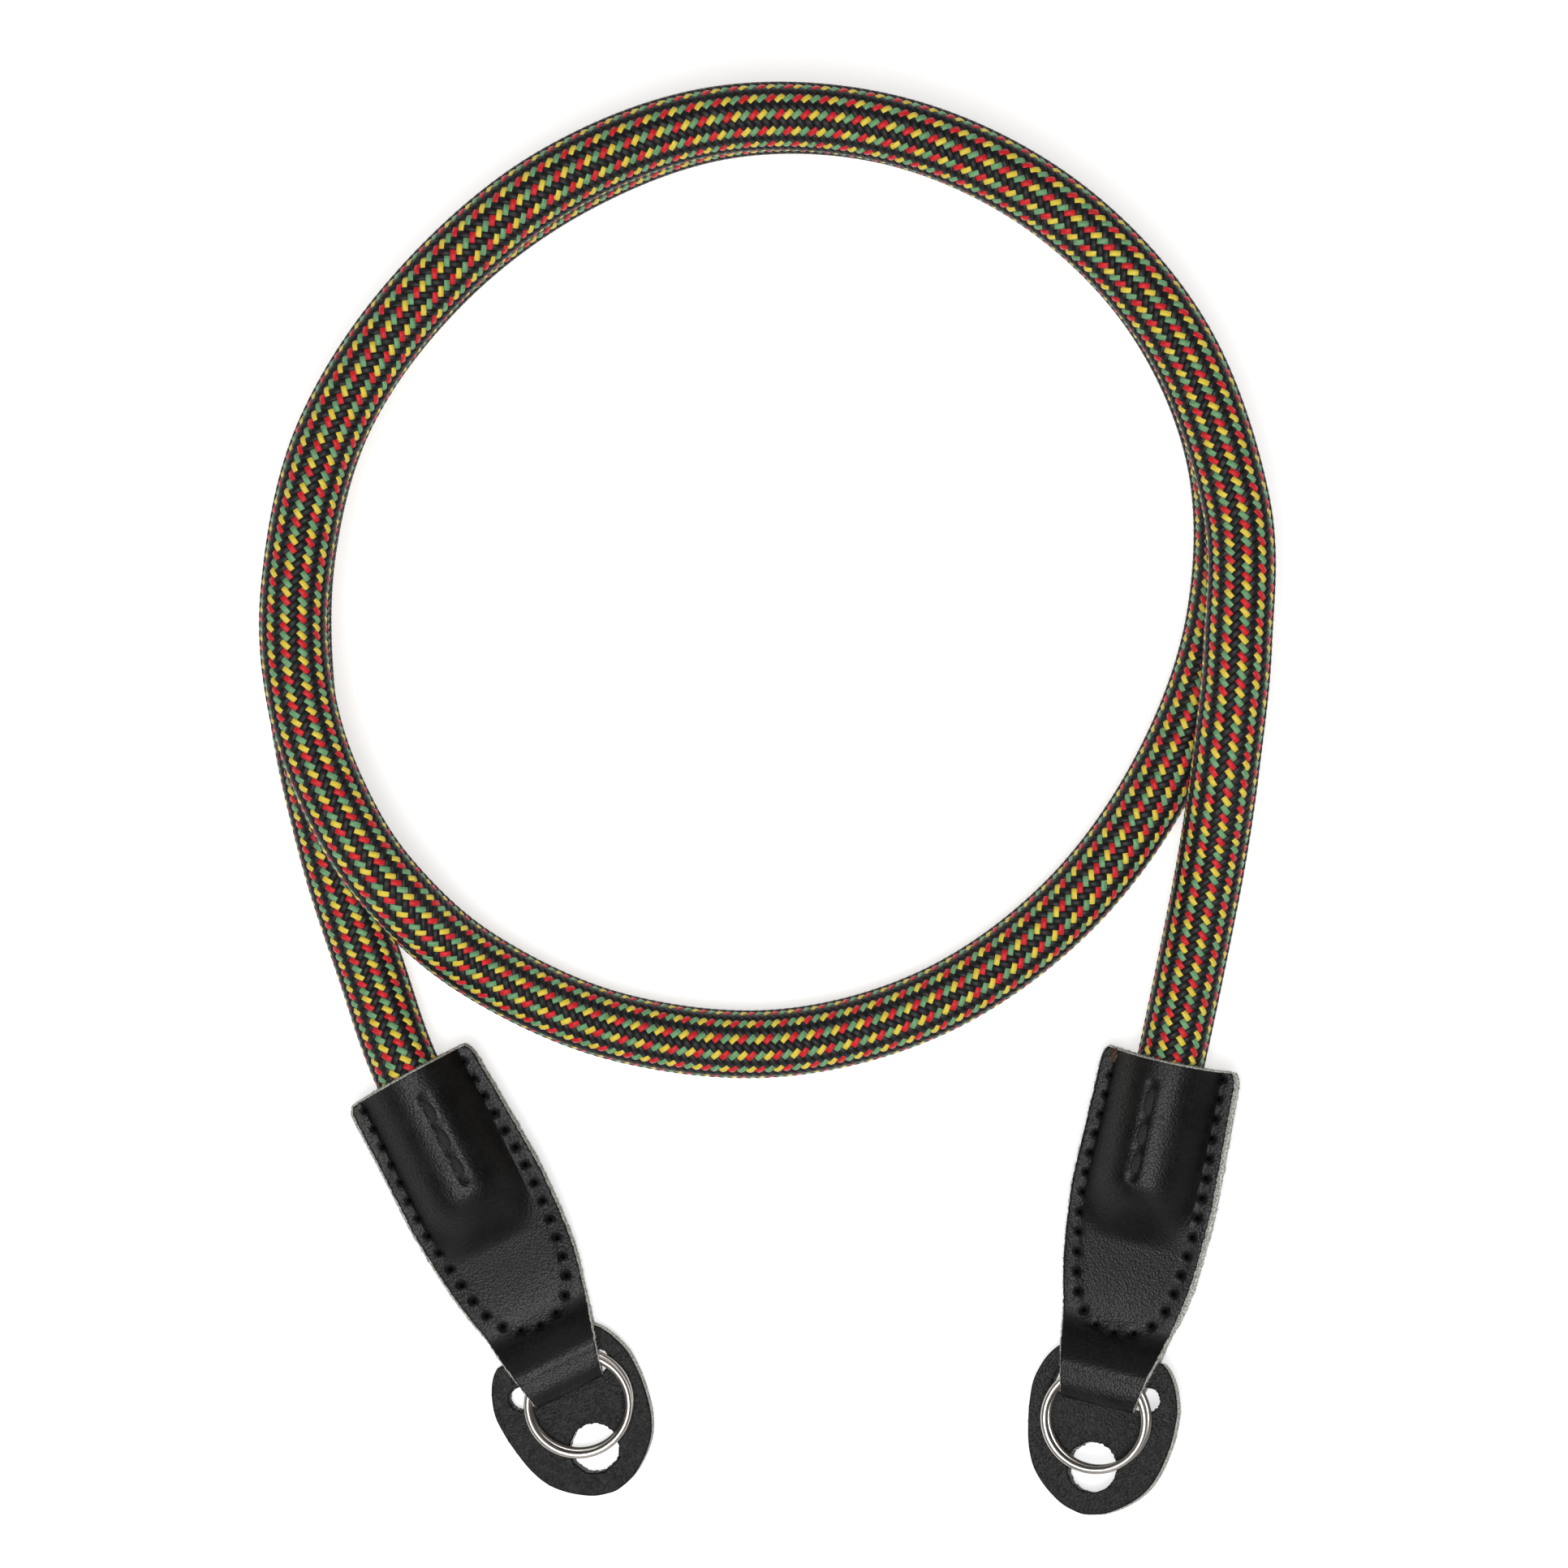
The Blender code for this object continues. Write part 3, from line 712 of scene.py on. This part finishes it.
def strip_rows(place):
    """The strip's middle from mouth to mouth, with its stitch marks and its smooth neck at each point."""
    bend = bend_line()
    bend_points = even_points(bend, round(distances(bend)[-1] / BEND_STEP))
    upper = np.arange(END_LENGTH, ROLL_FOOT, -UPPER_STEP)
    lower = np.arange(END_LENGTH, ROLL_FOOT, -LOWER_STEP)[::-1]
    mouth = MOUTHS[place.side]
    reach = mouth.reach + mouth.skew * column_share + mouth.bow * (1.0 - column_share**2)
    to_right, to_left = np.maximum(column_share, 0.0), np.minimum(column_share, 0.0)
    beside = mouth.lower_right * to_right + mouth.lower_left * to_left
    middles, marks = [], []
    for along, height, layer in (
        (upper, None, 1.0),
        (*bend_points.T, 0.0),
        (lower, None, -1.0),
    ):
        along = np.repeat(along[:, None], len(column_share), axis=1)
        own = column_share * half_width(along)
        if layer < 0.0:
            own = own + beside * rise(ROLL_FOOT, LOWER_SPREAD_END * ROLL_FOOT, along)
        along = along + reach * rise(END_LENGTH - MOUTH_RUN, END_LENGTH, along)
        across = own + side_bow(place, along)
        holes, pucker, pulled = stitch_marks(place, across, along)
        if layer:
            height = leather_middle(across, along, layer)
        else:
            height = np.repeat(height[:, None], len(column_share), axis=1)
        foot = NECK_FOOT + NECK_SIDES * np.minimum(np.abs(own) / NECK_HALF_WIDTH, 1.0) ** 2
        neck = (1.0 - rise(foot - NECK_FADE[0], foot + NECK_FADE[1], along)) * rise(*NECK_START, along)
        middles.append(np.stack([across, along, height], axis=-1))
        marks.append(np.stack([holes, pucker, pulled, neck], axis=-1))
    return np.concatenate(middles), np.concatenate(marks)


def leather_mesh(place, draw):
    """The strip as a closed wall, and the lines of its cut edges with the directions out of them."""
    middle, marks = strip_rows(place)
    ahead, sideways = unit(np.gradient(middle, axis=0)), unit(np.gradient(middle, axis=1))
    outer = unit(np.cross(ahead, sideways))
    last = len(middle) - 1
    mouth_rows = len(MOUTH_EDGE)
    rows = np.array([0] * mouth_rows + list(range(last + 1)) + [last] * mouth_rows)
    thick = np.ones(len(rows))
    shift = np.zeros(len(rows))
    for number, step in enumerate(MOUTH_EDGE):
        thick[[number, -1 - number]] = step.thick
        shift[number], shift[-1 - number] = -step.out, step.out
    middle = middle[rows] + shift[:, None, None] * ahead[rows]
    sideways, outer, marks = sideways[rows], outer[rows], marks[rows]
    wall = thick[:, None] * LEATHER_THICKNESS / 2.0

    face = middle + outer * (wall - thick[:, None] * marks[..., 2])[..., None]
    back = middle - outer * wall[..., None]
    edges = {}
    for side, column in ((-1.0, 0), (1.0, -1)):
        points = []
        for corner in CUT_EDGE:
            out = corner.out + EDGE_UNEVEN * draw.standard_normal(len(rows))
            offset = side * (thick * out)[:, None] * sideways[:, column]
            points.append(middle[:, column] + offset + (thick * corner.up)[:, None] * outer[:, column])
        edges[side] = np.stack(points, axis=1)
    right, left = edges[1.0], edges[-1.0][:, ::-1]
    points = np.concatenate([face, right, back[:, ::-1], left, face[:, :1]], axis=1)

    none = np.zeros((len(rows), LEATHER_COLUMNS + 1 + 2 * len(CUT_EDGE)))
    values = {}
    for name, number in (("hole", 0), ("pucker", 1), ("neck", 3)):
        values[name] = np.concatenate([marks[..., number], none, marks[:, :1, number]], axis=1)
    cut = np.ones((points.shape[0] - 1, points.shape[1] - 1), int)
    cut[mouth_rows:-mouth_rows, : LEATHER_COLUMNS + 1] = 0
    cut[mouth_rows:-mouth_rows, -1] = 0
    mesh = closed_up(wrapped_grid(points, cut, values))
    borders = [(edges[side][:, 2], side * sideways[:, column]) for side, column in ((-1.0, 0), (1.0, -1))]
    borders += [(middle[0], -ahead[0]), (middle[-1], ahead[-1])]
    return mesh, borders


def closed_up(mesh):
    """The mesh with its meeting points merged and its faces pointing out."""
    wall = bmesh.new()
    wall.from_mesh(mesh)
    bmesh.ops.remove_doubles(wall, verts=wall.verts, dist=WALL_MERGE)
    bmesh.ops.recalc_face_normals(wall, faces=wall.faces)
    wall.to_mesh(mesh)
    wall.free()
    mesh.shade_smooth()
    return mesh


def attribute(start, name):
    """A value that the mesh carries at its points."""
    return start.node("ShaderNodeAttribute", {"attribute_name": name}, output=2)


GRAIN_SCALE = 2700.0
GRAIN_DEPTH = 0.00006
PORE_SCALE = 6000.0
CREASE_SCALE = 1300.0
PUCKER_STRENGTH = 3.0
CLOUD_SCALE = 170.0
WORN_SHADES = Shades((0.0018, 0.0018, 0.0019, 1.0), (0.0070, 0.0067, 0.0065, 1.0))
# The neck colour is darker than the worn leather, partly for the smoother leather's own tone and partly as
# painted shade.
NECK_SMOOTH_AND_SHADE_COLOUR = (0.0025, 0.0025, 0.0026, 1.0)
# The stitch holes' colour is painted shade: near black where the leather is pulled into them.
HOLE_SHADE_COLOUR = (0.0006, 0.0006, 0.0006, 1.0)
EDGE_SHADES = Shades((0.26, 0.265, 0.235, 1.0), (0.90, 0.90, 0.83, 1.0))
EDGE_FIBRE_SCALE = 3800.0
EDGE_RELIEF = 0.0003


def pebbles(start, place, scale):
    """The grain of leather: how far each point is from the middle of its pebble."""
    return start.node("ShaderNodeTexVoronoi", {"feature": "F1"}, {"Vector": place, "Scale": scale})


def leather_surface(start):
    """Black grained leather: smooth at the neck, where its darker colour is partly painted shade, creased by
    the stitches, and painted near black as shade in the holes.
    """
    own = object_place(start)
    neck, pucker, hole = (attribute(start, name) for name in ("neck", "pucker", "hole"))
    cells = pebbles(start, own, GRAIN_SCALE)
    pores = noise(start, own, PORE_SCALE)
    creases = noise(start, own, CREASE_SCALE, 3.0)
    clouds = noise(start, own, CLOUD_SCALE, 3.0)
    grain = (cells + 0.35 * pores) * (1.0 - 0.85 * neck) + PUCKER_STRENGTH * pucker * creases
    wear = between(start, 0.6 * clouds + 0.4 * creases, 0.38, 0.66)
    worn = mix_colours(start, wear, *WORN_SHADES)
    # Painted shade, together with the smoother leather's tone, darkens the neck's colour.
    smooth = mix_colours(start, 0.8 * neck, worn, NECK_SMOOTH_AND_SHADE_COLOUR)
    # The holes get painted shade: their colour goes near black, and they are rougher.
    in_hole = between(start, hole, 0.22, 0.60)
    return {
        "Base Color": mix_colours(start, in_hole, smooth, HOLE_SHADE_COLOUR),
        "Roughness": 0.28 + 0.3 * cells + 0.08 * wear + 0.06 * neck + 0.4 * in_hole,
        "Normal": raised(start, grain, GRAIN_DEPTH),
    }


def edge_surface(start):
    """The rough, pale grey-green inside of the hide."""
    fibres = noise(start, object_place(start), EDGE_FIBRE_SCALE, 4.0)
    share = between(start, fibres, 0.40, 0.60)
    return {
        "Base Color": mix_colours(start, share, *EDGE_SHADES),
        "Normal": raised(start, fibres, EDGE_RELIEF),
    }


leather = new_material("leather", {"Specular IOR Level": 0.36}, leather_surface)
cut_edge = new_material("cut_edge", {"Roughness": 0.95, "Specular IOR Level": 0.2}, edge_surface)

FIBRE_SPACING = 0.00022
FIBRE_LENGTH = (0.00012, 0.00042)
FIBRE_RADIUS = 0.00003
FIBRE_SPREAD = 0.75


def edge_fibres(name, borders, draw):
    """Loose fibres along cut edges, as pale spikes that stand out of them."""
    tufts = bmesh.new()
    for line, outward in borders:
        reached = distances(line)
        places = draw.uniform(0.0, reached[-1], int(reached[-1] / FIBRE_SPACING))
        both = np.concatenate([line, outward], axis=1)
        for row in np.stack([np.interp(places, reached, both[:, axis]) for axis in range(6)], axis=-1):
            root, out = Vector(row[:3]), Vector(row[3:])
            aim = out + FIBRE_SPREAD * Vector(draw.uniform(-1.0, 1.0, 3))
            length = draw.uniform(*FIBRE_LENGTH)
            turn = aim.to_track_quat("Z", "Y").to_matrix().to_4x4()
            matrix = Matrix.Translation(root) @ turn @ Matrix.Translation((0.0, 0.0, length / 2.0))
            bmesh.ops.create_cone(
                tufts,
                cap_ends=True,
                segments=3,
                radius1=FIBRE_RADIUS,
                radius2=0.0,
                depth=length,
                matrix=matrix,
            )
    mesh = new_mesh(name, tufts)
    mesh.materials.append(cut_edge)
    return mesh


for seed, place in enumerate(END_PLACES):
    draw = np.random.default_rng(seed)
    mesh, borders = leather_mesh(place, draw)
    mesh.name = f"leather_end_{place.side}"
    mesh.transform(laid_down(place))
    mesh.materials.append(leather)
    mesh.materials.append(cut_edge)
    add_piece(f"sewn_end_{place.side}", mesh, "black_leather", f"leather_end_{place.side}")
    fibres = edge_fibres(f"end_fibres_{place.side}", borders, draw)
    fibres.transform(laid_down(place))
    add_piece(fibres.name, fibres, "black_leather")

# Stitches: black waxed thread, sunk into the holes of the side row and pulled tight over the rope in three
# long flat stitches. One corner hole of the right end is filled with loose brown fibre.
THREAD_STEPS = 8
THREAD_DIAMETER = 0.0005
THREAD_SINK = 0.0003
THREAD_TOP = -0.00020
STITCH_SEGMENTS = 10
MIDDLE_STITCH_WIDTH = 0.00155
MIDDLE_STITCH_HEIGHT = 0.0006
MIDDLE_STITCH_SINK = 0.00035
STITCH_ROUNDING = 0.5
PLUG_LENGTH = 0.00132
PLUG_WIDTH = 0.00096
PLUG_HEIGHT = 0.0002
PLUG_SLANT = 20.0
STRAND_SCALE = 4000.0
THREAD_SHADES = Shades((0.004, 0.004, 0.004, 1.0), (0.016, 0.0155, 0.015, 1.0))
# The sunken thread in the holes is coloured far darker than the thread itself: painted shade.
HOLE_THREAD_AND_SHADE = Shades((0.0006, 0.0006, 0.0006, 1.0), (0.002, 0.002, 0.002, 1.0))
BROWN_SHADES = Shades((0.020, 0.013, 0.009, 1.0), (0.14, 0.085, 0.055, 1.0))

# The brown filling is so many times as long, wide and high as a plug of thread, and lies so much higher
FILLED_HOLE = (2.0, 2.1, 2.4)
FILLING_RISE = 0.00045


def fibre_finish(name, shades, relief, shine):
    """Twisted strands of thread or loose fibre."""
    def surface(start):
        strands = noise(start, object_place(start), STRAND_SCALE, 3.0)
        return {
            "Base Color": mix_colours(start, between(start, strands, 0.35, 0.65), *shades),
            "Normal": raised(start, strands, relief),
        }

    return new_material(name, {"Roughness": 0.6, "Specular IOR Level": shine}, surface)


thread_finishes = (
    fibre_finish("waxed_thread", THREAD_SHADES, 0.0002, 0.5),
    fibre_finish("sunken_thread_and_shade", HOLE_THREAD_AND_SHADE, 0.0001, 0.02),
    fibre_finish("brown_fibre", BROWN_SHADES, 0.0003, 0.2),
)


def on_leather(place, across, along, layer, out):
    """A point on the outer face of a sewn layer, or so far out from it."""
    pulled = stitch_marks(place, across, along)[2]
    height = leather_middle(across, along, layer) + layer * (LEATHER_THICKNESS / 2.0 - pulled + out)
    return np.stack([across, along, height], axis=-1)


def row_thread(place, layer):
    """The thread of the side row on one face: down into each hole and up over the leather between."""
    across, along = even_points(row_curve, row_stitches * THREAD_STEPS + 1).T
    wave = np.abs(np.sin(np.arange(len(along)) * math.pi / THREAD_STEPS)) ** STITCH_ROUNDING
    out = THREAD_TOP + THREAD_SINK * (wave - 1.0)
    return on_leather(place, across + side_bow(place, along), along, layer, out)


def stitch_holes(place, layer):
    """A plug of sunken thread in each slanting hole of the side row, coloured darker than the thread as
    painted shade.
    """
    plugs = bmesh.new()
    ahead = np.gradient(row_holes, axis=0)
    for number, ((across, along), (run_across, run_along)) in enumerate(zip(row_holes, ahead)):
        turn = math.atan2(run_along, run_across) + math.radians(PLUG_SLANT)
        bowed = np.array(across + side_bow(place, along))
        filled = place.side == "right" and layer > 0.0 and number == len(row_holes) - 1
        spot = Vector(on_leather(place, bowed, np.array(along), layer, FILLING_RISE if filled else 0.0))
        long, wide, high = FILLED_HOLE if filled else (1.0, 1.0, 1.0)
        half = (long * PLUG_LENGTH / 2.0, wide * PLUG_WIDTH / 2.0, high * PLUG_HEIGHT)
        size = Matrix.Diagonal((*half, 1.0))
        matrix = Matrix.Translation(spot) @ Matrix.Rotation(turn, 4, "Z") @ size
        made = bmesh.ops.create_uvsphere(plugs, u_segments=10, v_segments=6, radius=1.0, matrix=matrix)
        for vertex in made["verts"]:
            for face in vertex.link_faces:
                face.material_index = 2 if filled else 1
    return plugs


def middle_stitches(place, layer):
    """The long stitches over the rope: a flat bundle of thread each, pointed where it goes down."""
    bundle = bmesh.new()
    segments = STITCH_SEGMENTS + 1
    turned = np.linspace(0.0, 2.0 * math.pi, segments)
    ends = MIDDLE_HOLES[place.side]
    for start, stop in zip(ends, ends[1:]):
        swell = np.sin(np.linspace(0.0, math.pi, segments))[:, None] ** STITCH_ROUNDING
        across = MIDDLE_SHIFT[place.side] + 0.5 * MIDDLE_STITCH_WIDTH * swell * np.cos(turned)
        along = np.repeat(np.linspace(start, stop, segments)[:, None], segments, axis=1)
        half_height = 0.5 * MIDDLE_STITCH_HEIGHT * swell * np.sin(turned)
        out = half_height - MIDDLE_STITCH_SINK * (1.0 - swell)
        gather(bundle, wrapped_grid(on_leather(place, across, along, layer, out)))
    return bundle


for place in END_PLACES:
    threads = [row_thread(place, layer) for layer in (1.0, -1.0)]
    curve = tube(f"side_stitches_{place.side}", threads, THREAD_DIAMETER, bevel_resolution=1)
    curve.transform(laid_down(place))
    curve.materials.append(thread_finishes[0])
    add_piece(curve.name, curve, "black_leather")
    bundle = bmesh.new()
    for layer in (1.0, -1.0):
        for stitches in (middle_stitches(place, layer), stitch_holes(place, layer)):
            gather(bundle, new_mesh("stitches", stitches))
    mesh = closed_up(new_mesh(f"middle_stitches_{place.side}", bundle))
    mesh.transform(laid_down(place))
    for finish in thread_finishes:
        mesh.materials.append(finish)
    add_piece(mesh.name, mesh, "black_leather")

# Split rings: two coils of nickel plated spring wire, which step over each other inside the fold. A camera's
# lug goes on them as a key goes on a key ring.
RING_DIAMETER = 0.0173
RING_SEAT = 0.0058
RING_CROSSOVER = 44.0
RING_TURN_POINTS = 96
COIL_SHIFT = (0.00036, 0.00028)
SCRATCH_SCALE = 1800.0
SCRATCH_DEPTH = 0.00001
TARNISH_SCALE = 160.0
NICKEL_SHADES = Shades((0.60, 0.55, 0.50, 1.0), (0.75, 0.71, 0.67, 1.0))


def ring_points(place):
    """The wire's middle, two turns from one end to the other."""
    radius = (RING_DIAMETER - RING_WIRE) / 2.0
    half_step = math.radians(RING_CROSSOVER / 2.0)
    turned = np.linspace(half_step, 4.0 * math.pi - half_step, 2 * RING_TURN_POINTS)
    lifted = COIL_RISE * rise(2.0 * math.pi - half_step, 2.0 * math.pi + half_step, turned)
    low = 1.0 - lifted / COIL_RISE
    points = np.stack(
        [
            COIL_SHIFT[0] * low - radius * np.sin(turned),
            COIL_SHIFT[1] * low + radius * np.cos(turned),
            lifted,
        ],
        axis=-1,
    )
    drop = LEATHER_THICKNESS + TOUCH_GAP
    tilt = math.asin(drop / (2.0 * radius))
    seat = (place.ring_slide, RING_SEAT - radius * math.cos(tilt), RING_IN_FOLD - drop / 2.0)
    lean = Matrix.Translation(seat) @ Matrix.Rotation(tilt, 4, "X")
    return [laid_down(place) @ lean @ Vector(point) for point in points]


def nickel_surface(start):
    """Warm, softly shining nickel with fine scratches."""
    scratches = noise(start, object_place(start), SCRATCH_SCALE, 3.0)
    tarnish = noise(start, object_place(start), TARNISH_SCALE)
    return {
        "Base Color": mix_colours(start, tarnish, *NICKEL_SHADES),
        "Roughness": 0.27 + 0.14 * scratches,
        "Normal": raised(start, scratches, SCRATCH_DEPTH),
    }


nickel = new_material("nickel", {"Metallic": 1.0}, nickel_surface)
for place in END_PLACES:
    curve = tube(f"coiled_ring_{place.side}", [ring_points(place)], RING_WIRE, bevel_resolution=4)
    curve.materials.append(nickel)
    add_piece(curve.name, curve, "nickel_ring", f"split_ring_{place.side}")

# Protector pads: a flat tongue of black leather under each ring, which keeps it off the camera. The strip
# comes down through its slot, the lug sticks up through its round hole, and its edge is cut aslant.
PAD_LENGTH = 0.0261
PAD_WIDTH = 0.0237
PAD_BRIDGE = 0.0041
PAD_BEND_RUN = 0.0103
SLOT_PLAY = 0.0026
SLOT_SIDE_PLAY = 0.0031
SLOT_LAG = 0.0003
LUG_HOLE_DIAMETER = 0.0079
LUG_HOLE_BACK = 0.0124
PAD_CUT_STEP = 0.0008
PAD_RIM_POINTS = 150
PAD_CENTRE = 0.45
PAD_EDGE_BEVEL = 0.0002
PAD_RIM_ANGLE = 60.0
PAD_SHARP_ANGLE = 50.0
PAD_FIBRE_HEIGHT = 0.4
PAD_SEED = 10
HOLE_POINTS = 96
HOLE_RAGGED = 0.00008
PAD_SLANT = 0.0005
PAD_GRAIN_SCALE = 2300.0
PAD_PORE_SCALE = 4200.0
PAD_CREASE_SCALE = 600.0
PAD_GRAIN_DEPTH = 0.00020
PAD_SHADES = Shades((0.006, 0.006, 0.006, 1.0), (0.022, 0.0215, 0.021, 1.0))
BURNISH_SCALE = 1500.0
BURNISH_SHADES = Shades((0.001, 0.001, 0.001, 1.0), (0.004, 0.004, 0.004, 1.0))

# The outline: how far back from the front as a share of PAD_LENGTH, and how wide as a share of PAD_WIDTH
PadSection = namedtuple("PadSection", "back width")
PAD_OUTLINE = [
    PadSection(*row)
    for row in (
        (0.000, 0.675), (0.035, 0.77), (0.10, 0.87), (0.18, 0.945), (0.27, 0.995), (0.37, 1.00),
        (0.47, 0.985), (0.61, 0.93), (0.71, 0.86), (0.795, 0.76), (0.87, 0.61), (0.93, 0.44),
        (0.97, 0.285), (0.99, 0.14), (1.000, 0.00),
    )
]


def slot_middle():
    """Where the strip comes down through the pad's slot."""
    line = bend_line()
    falling = line[(line[:, 1] < RING_IN_FOLD) & (line[:, 0] < FOLD_DEPTH / 2.0)]
    return falling[np.abs(falling[:, 1] - BRIDGE_MIDDLE).argmin(), 0] + SLOT_LAG


def ring_of_points(middle, half_length, radius, draw):
    """A closed, slightly ragged outline with round ends, or a circle where half_length equals radius."""
    turned = np.linspace(0.0, 2.0 * math.pi, HOLE_POINTS, endpoint=False)
    side = np.copysign(half_length - radius, np.cos(turned))
    ragged = radius + HOLE_RAGGED * draw.standard_normal(HOLE_POINTS)
    return np.stack([side + ragged * np.cos(turned), middle + ragged * np.sin(turned)], axis=-1)


def flat_pad(middle, slot_radius, front, draw):
    """The outline with its slot and hole, filled and cut into strips, and its outer line."""
    half = [(row.width * PAD_WIDTH / 2.0, front - row.back * PAD_LENGTH) for row in PAD_OUTLINE]
    outer = smooth_curve([*half, *[(-x, y) for x, y in reversed(half[:-1])]])
    outer = even_points(outer, PAD_RIM_POINTS)
    hole_radius = LUG_HOLE_DIAMETER / 2.0
    pad = bmesh.new()
    for loop in (
        outer,
        ring_of_points(middle, FOLD_WIDTH / 2.0 + SLOT_SIDE_PLAY, slot_radius, draw),
        ring_of_points(middle - LUG_HOLE_BACK, hole_radius, hole_radius, draw),
    ):
        corners = [pad.verts.new((x, y, 0.0)) for x, y in loop]
        for corner, following in zip(corners, corners[1:] + corners[:1]):
            pad.edges.new((corner, following))
    bmesh.ops.triangle_fill(pad, use_beauty=True, use_dissolve=False, edges=pad.edges)
    for axis, low, high in ((0, -PAD_WIDTH / 2.0, PAD_WIDTH / 2.0), (1, front - PAD_LENGTH, front)):
        for line in np.arange(low + PAD_CUT_STEP / 2.0, high, PAD_CUT_STEP):
            point, normal = [0.0] * 3, [0.0] * 3
            point[axis], normal[axis] = line, 1.0
            geometry = [*pad.verts, *pad.edges, *pad.faces]
            bmesh.ops.bisect_plane(pad, geom=geometry, dist=1e-6, plane_co=point, plane_no=normal)
    bmesh.ops.recalc_face_normals(pad, faces=pad.faces)
    if sum(face.normal.z for face in pad.faces) < 0.0:
        bmesh.ops.reverse_faces(pad, faces=pad.faces)
    return pad, outer


def bent(point, bend_end):
    """A point of the flat pad where the pad bends up over the strip, with its edge cut aslant."""
    x, y, height = point[0], point[1], point[2] - PAD_THICKNESS / 2.0
    low = PAD_THICKNESS / 2.0
    lift = low + (BRIDGE_MIDDLE - low) * float(rise(bend_end - PAD_BEND_RUN, bend_end, y))
    return Vector((x - PAD_SLANT * height / PAD_THICKNESS, y, lift + height))


def protector_pad(place, draw):
    """The pad's mesh, and the line of its cut edge with the directions out of it."""
    middle = slot_middle()
    slot_radius = (LEATHER_THICKNESS + SLOT_PLAY) / 2.0
    bend_end = middle + slot_radius
    front = bend_end + PAD_BRIDGE
    pad, outer = flat_pad(middle, slot_radius, front, draw)
    raised_part = bmesh.ops.extrude_face_region(pad, geom=list(pad.faces))
    top = [item for item in raised_part["geom"] if isinstance(item, bmesh.types.BMVert)]
    bmesh.ops.translate(pad, verts=top, vec=(0.0, 0.0, PAD_THICKNESS))
    bmesh.ops.recalc_face_normals(pad, faces=pad.faces)
    centre = Vector((0.0, front - PAD_LENGTH * PAD_CENTRE))
    # Upright faces that face away from the pad's middle, the outer rim and parts of the hole walls, get the
    # pale cut edge; the other walls of the slot and the lug hole keep the dark pad leather as painted shade.
    for face in pad.faces:
        upright = abs(face.normal.z) < 0.5
        outside = face.normal.xy.dot(face.calc_center_median().xy - centre) > 0.0
        face.material_index = 1 if upright and outside else 0
    rim = [edge for edge in pad.edges if edge.calc_face_angle(0.0) > math.radians(PAD_RIM_ANGLE)]
    rounded = bmesh.ops.bevel(
        pad, geom=rim, offset=PAD_EDGE_BEVEL, affect="EDGES", segments=2, profile=0.5, material=-1
    )
    for face in rounded["faces"]:
        if face.normal.z > 0.0:
            face.material_index = 2
    for vertex in pad.verts:
        vertex.co = bent(vertex.co, bend_end)
    mesh = new_mesh(f"protector_{place.side}", pad)
    mesh.shade_smooth()
    mesh.set_sharp_from_angle(angle=math.radians(PAD_SHARP_ANGLE))
    line = np.array([bent((x, y, PAD_THICKNESS * PAD_FIBRE_HEIGHT), bend_end) for x, y in outer])
    along = unit(np.gradient(line, axis=0))
    return mesh, [(line, np.cross([0.0, 0.0, 1.0], along))]


def pad_surface(start):
    """Black leather with a coarser, duller grain than the ends."""
    own = object_place(start)
    cells = pebbles(start, own, PAD_GRAIN_SCALE)
    pores = noise(start, own, PAD_PORE_SCALE, 3.0)
    creases = noise(start, own, PAD_CREASE_SCALE, 4.0)
    share = between(start, 0.5 * pores + 0.5 * creases, 0.38, 0.62)
    return {
        "Base Color": mix_colours(start, share, *PAD_SHADES),
        "Roughness": 0.40 + 0.2 * creases,
        "Normal": raised(start, cells + 0.5 * pores + 0.5 * creases, PAD_GRAIN_DEPTH),
    }


def burnish_surface(start):
    """The dark rounded lip of a pad's cut edge."""
    shine = noise(start, object_place(start), BURNISH_SCALE)
    return {
        "Base Color": mix_colours(start, shine, *BURNISH_SHADES),
        "Roughness": 0.5 + 0.3 * shine,
    }


pad_leather = new_material("pad_leather", {"Specular IOR Level": 0.4}, pad_surface)
burnished_edge = new_material("burnished_edge", {"Specular IOR Level": 0.3}, burnish_surface)
for seed, place in enumerate(END_PLACES):
    draw = np.random.default_rng(PAD_SEED + seed)
    mesh, borders = protector_pad(place, draw)
    fibres = edge_fibres(f"pad_fibres_{place.side}", borders, draw)
    slide = Matrix.Translation((place.pad_slide, 0.0, 0.0))
    turn = Matrix.Rotation(math.radians(place.pad_turn), 4, "Z")
    for made in (mesh, fibres):
        made.transform(laid_down(place) @ slide @ turn)
    for finish in (pad_leather, cut_edge, burnished_edge):
        mesh.materials.append(finish)
    add_piece(mesh.name, mesh, "pad_leather", f"protector_pad_{place.side}")
    add_piece(fibres.name, fibres, "pad_leather")
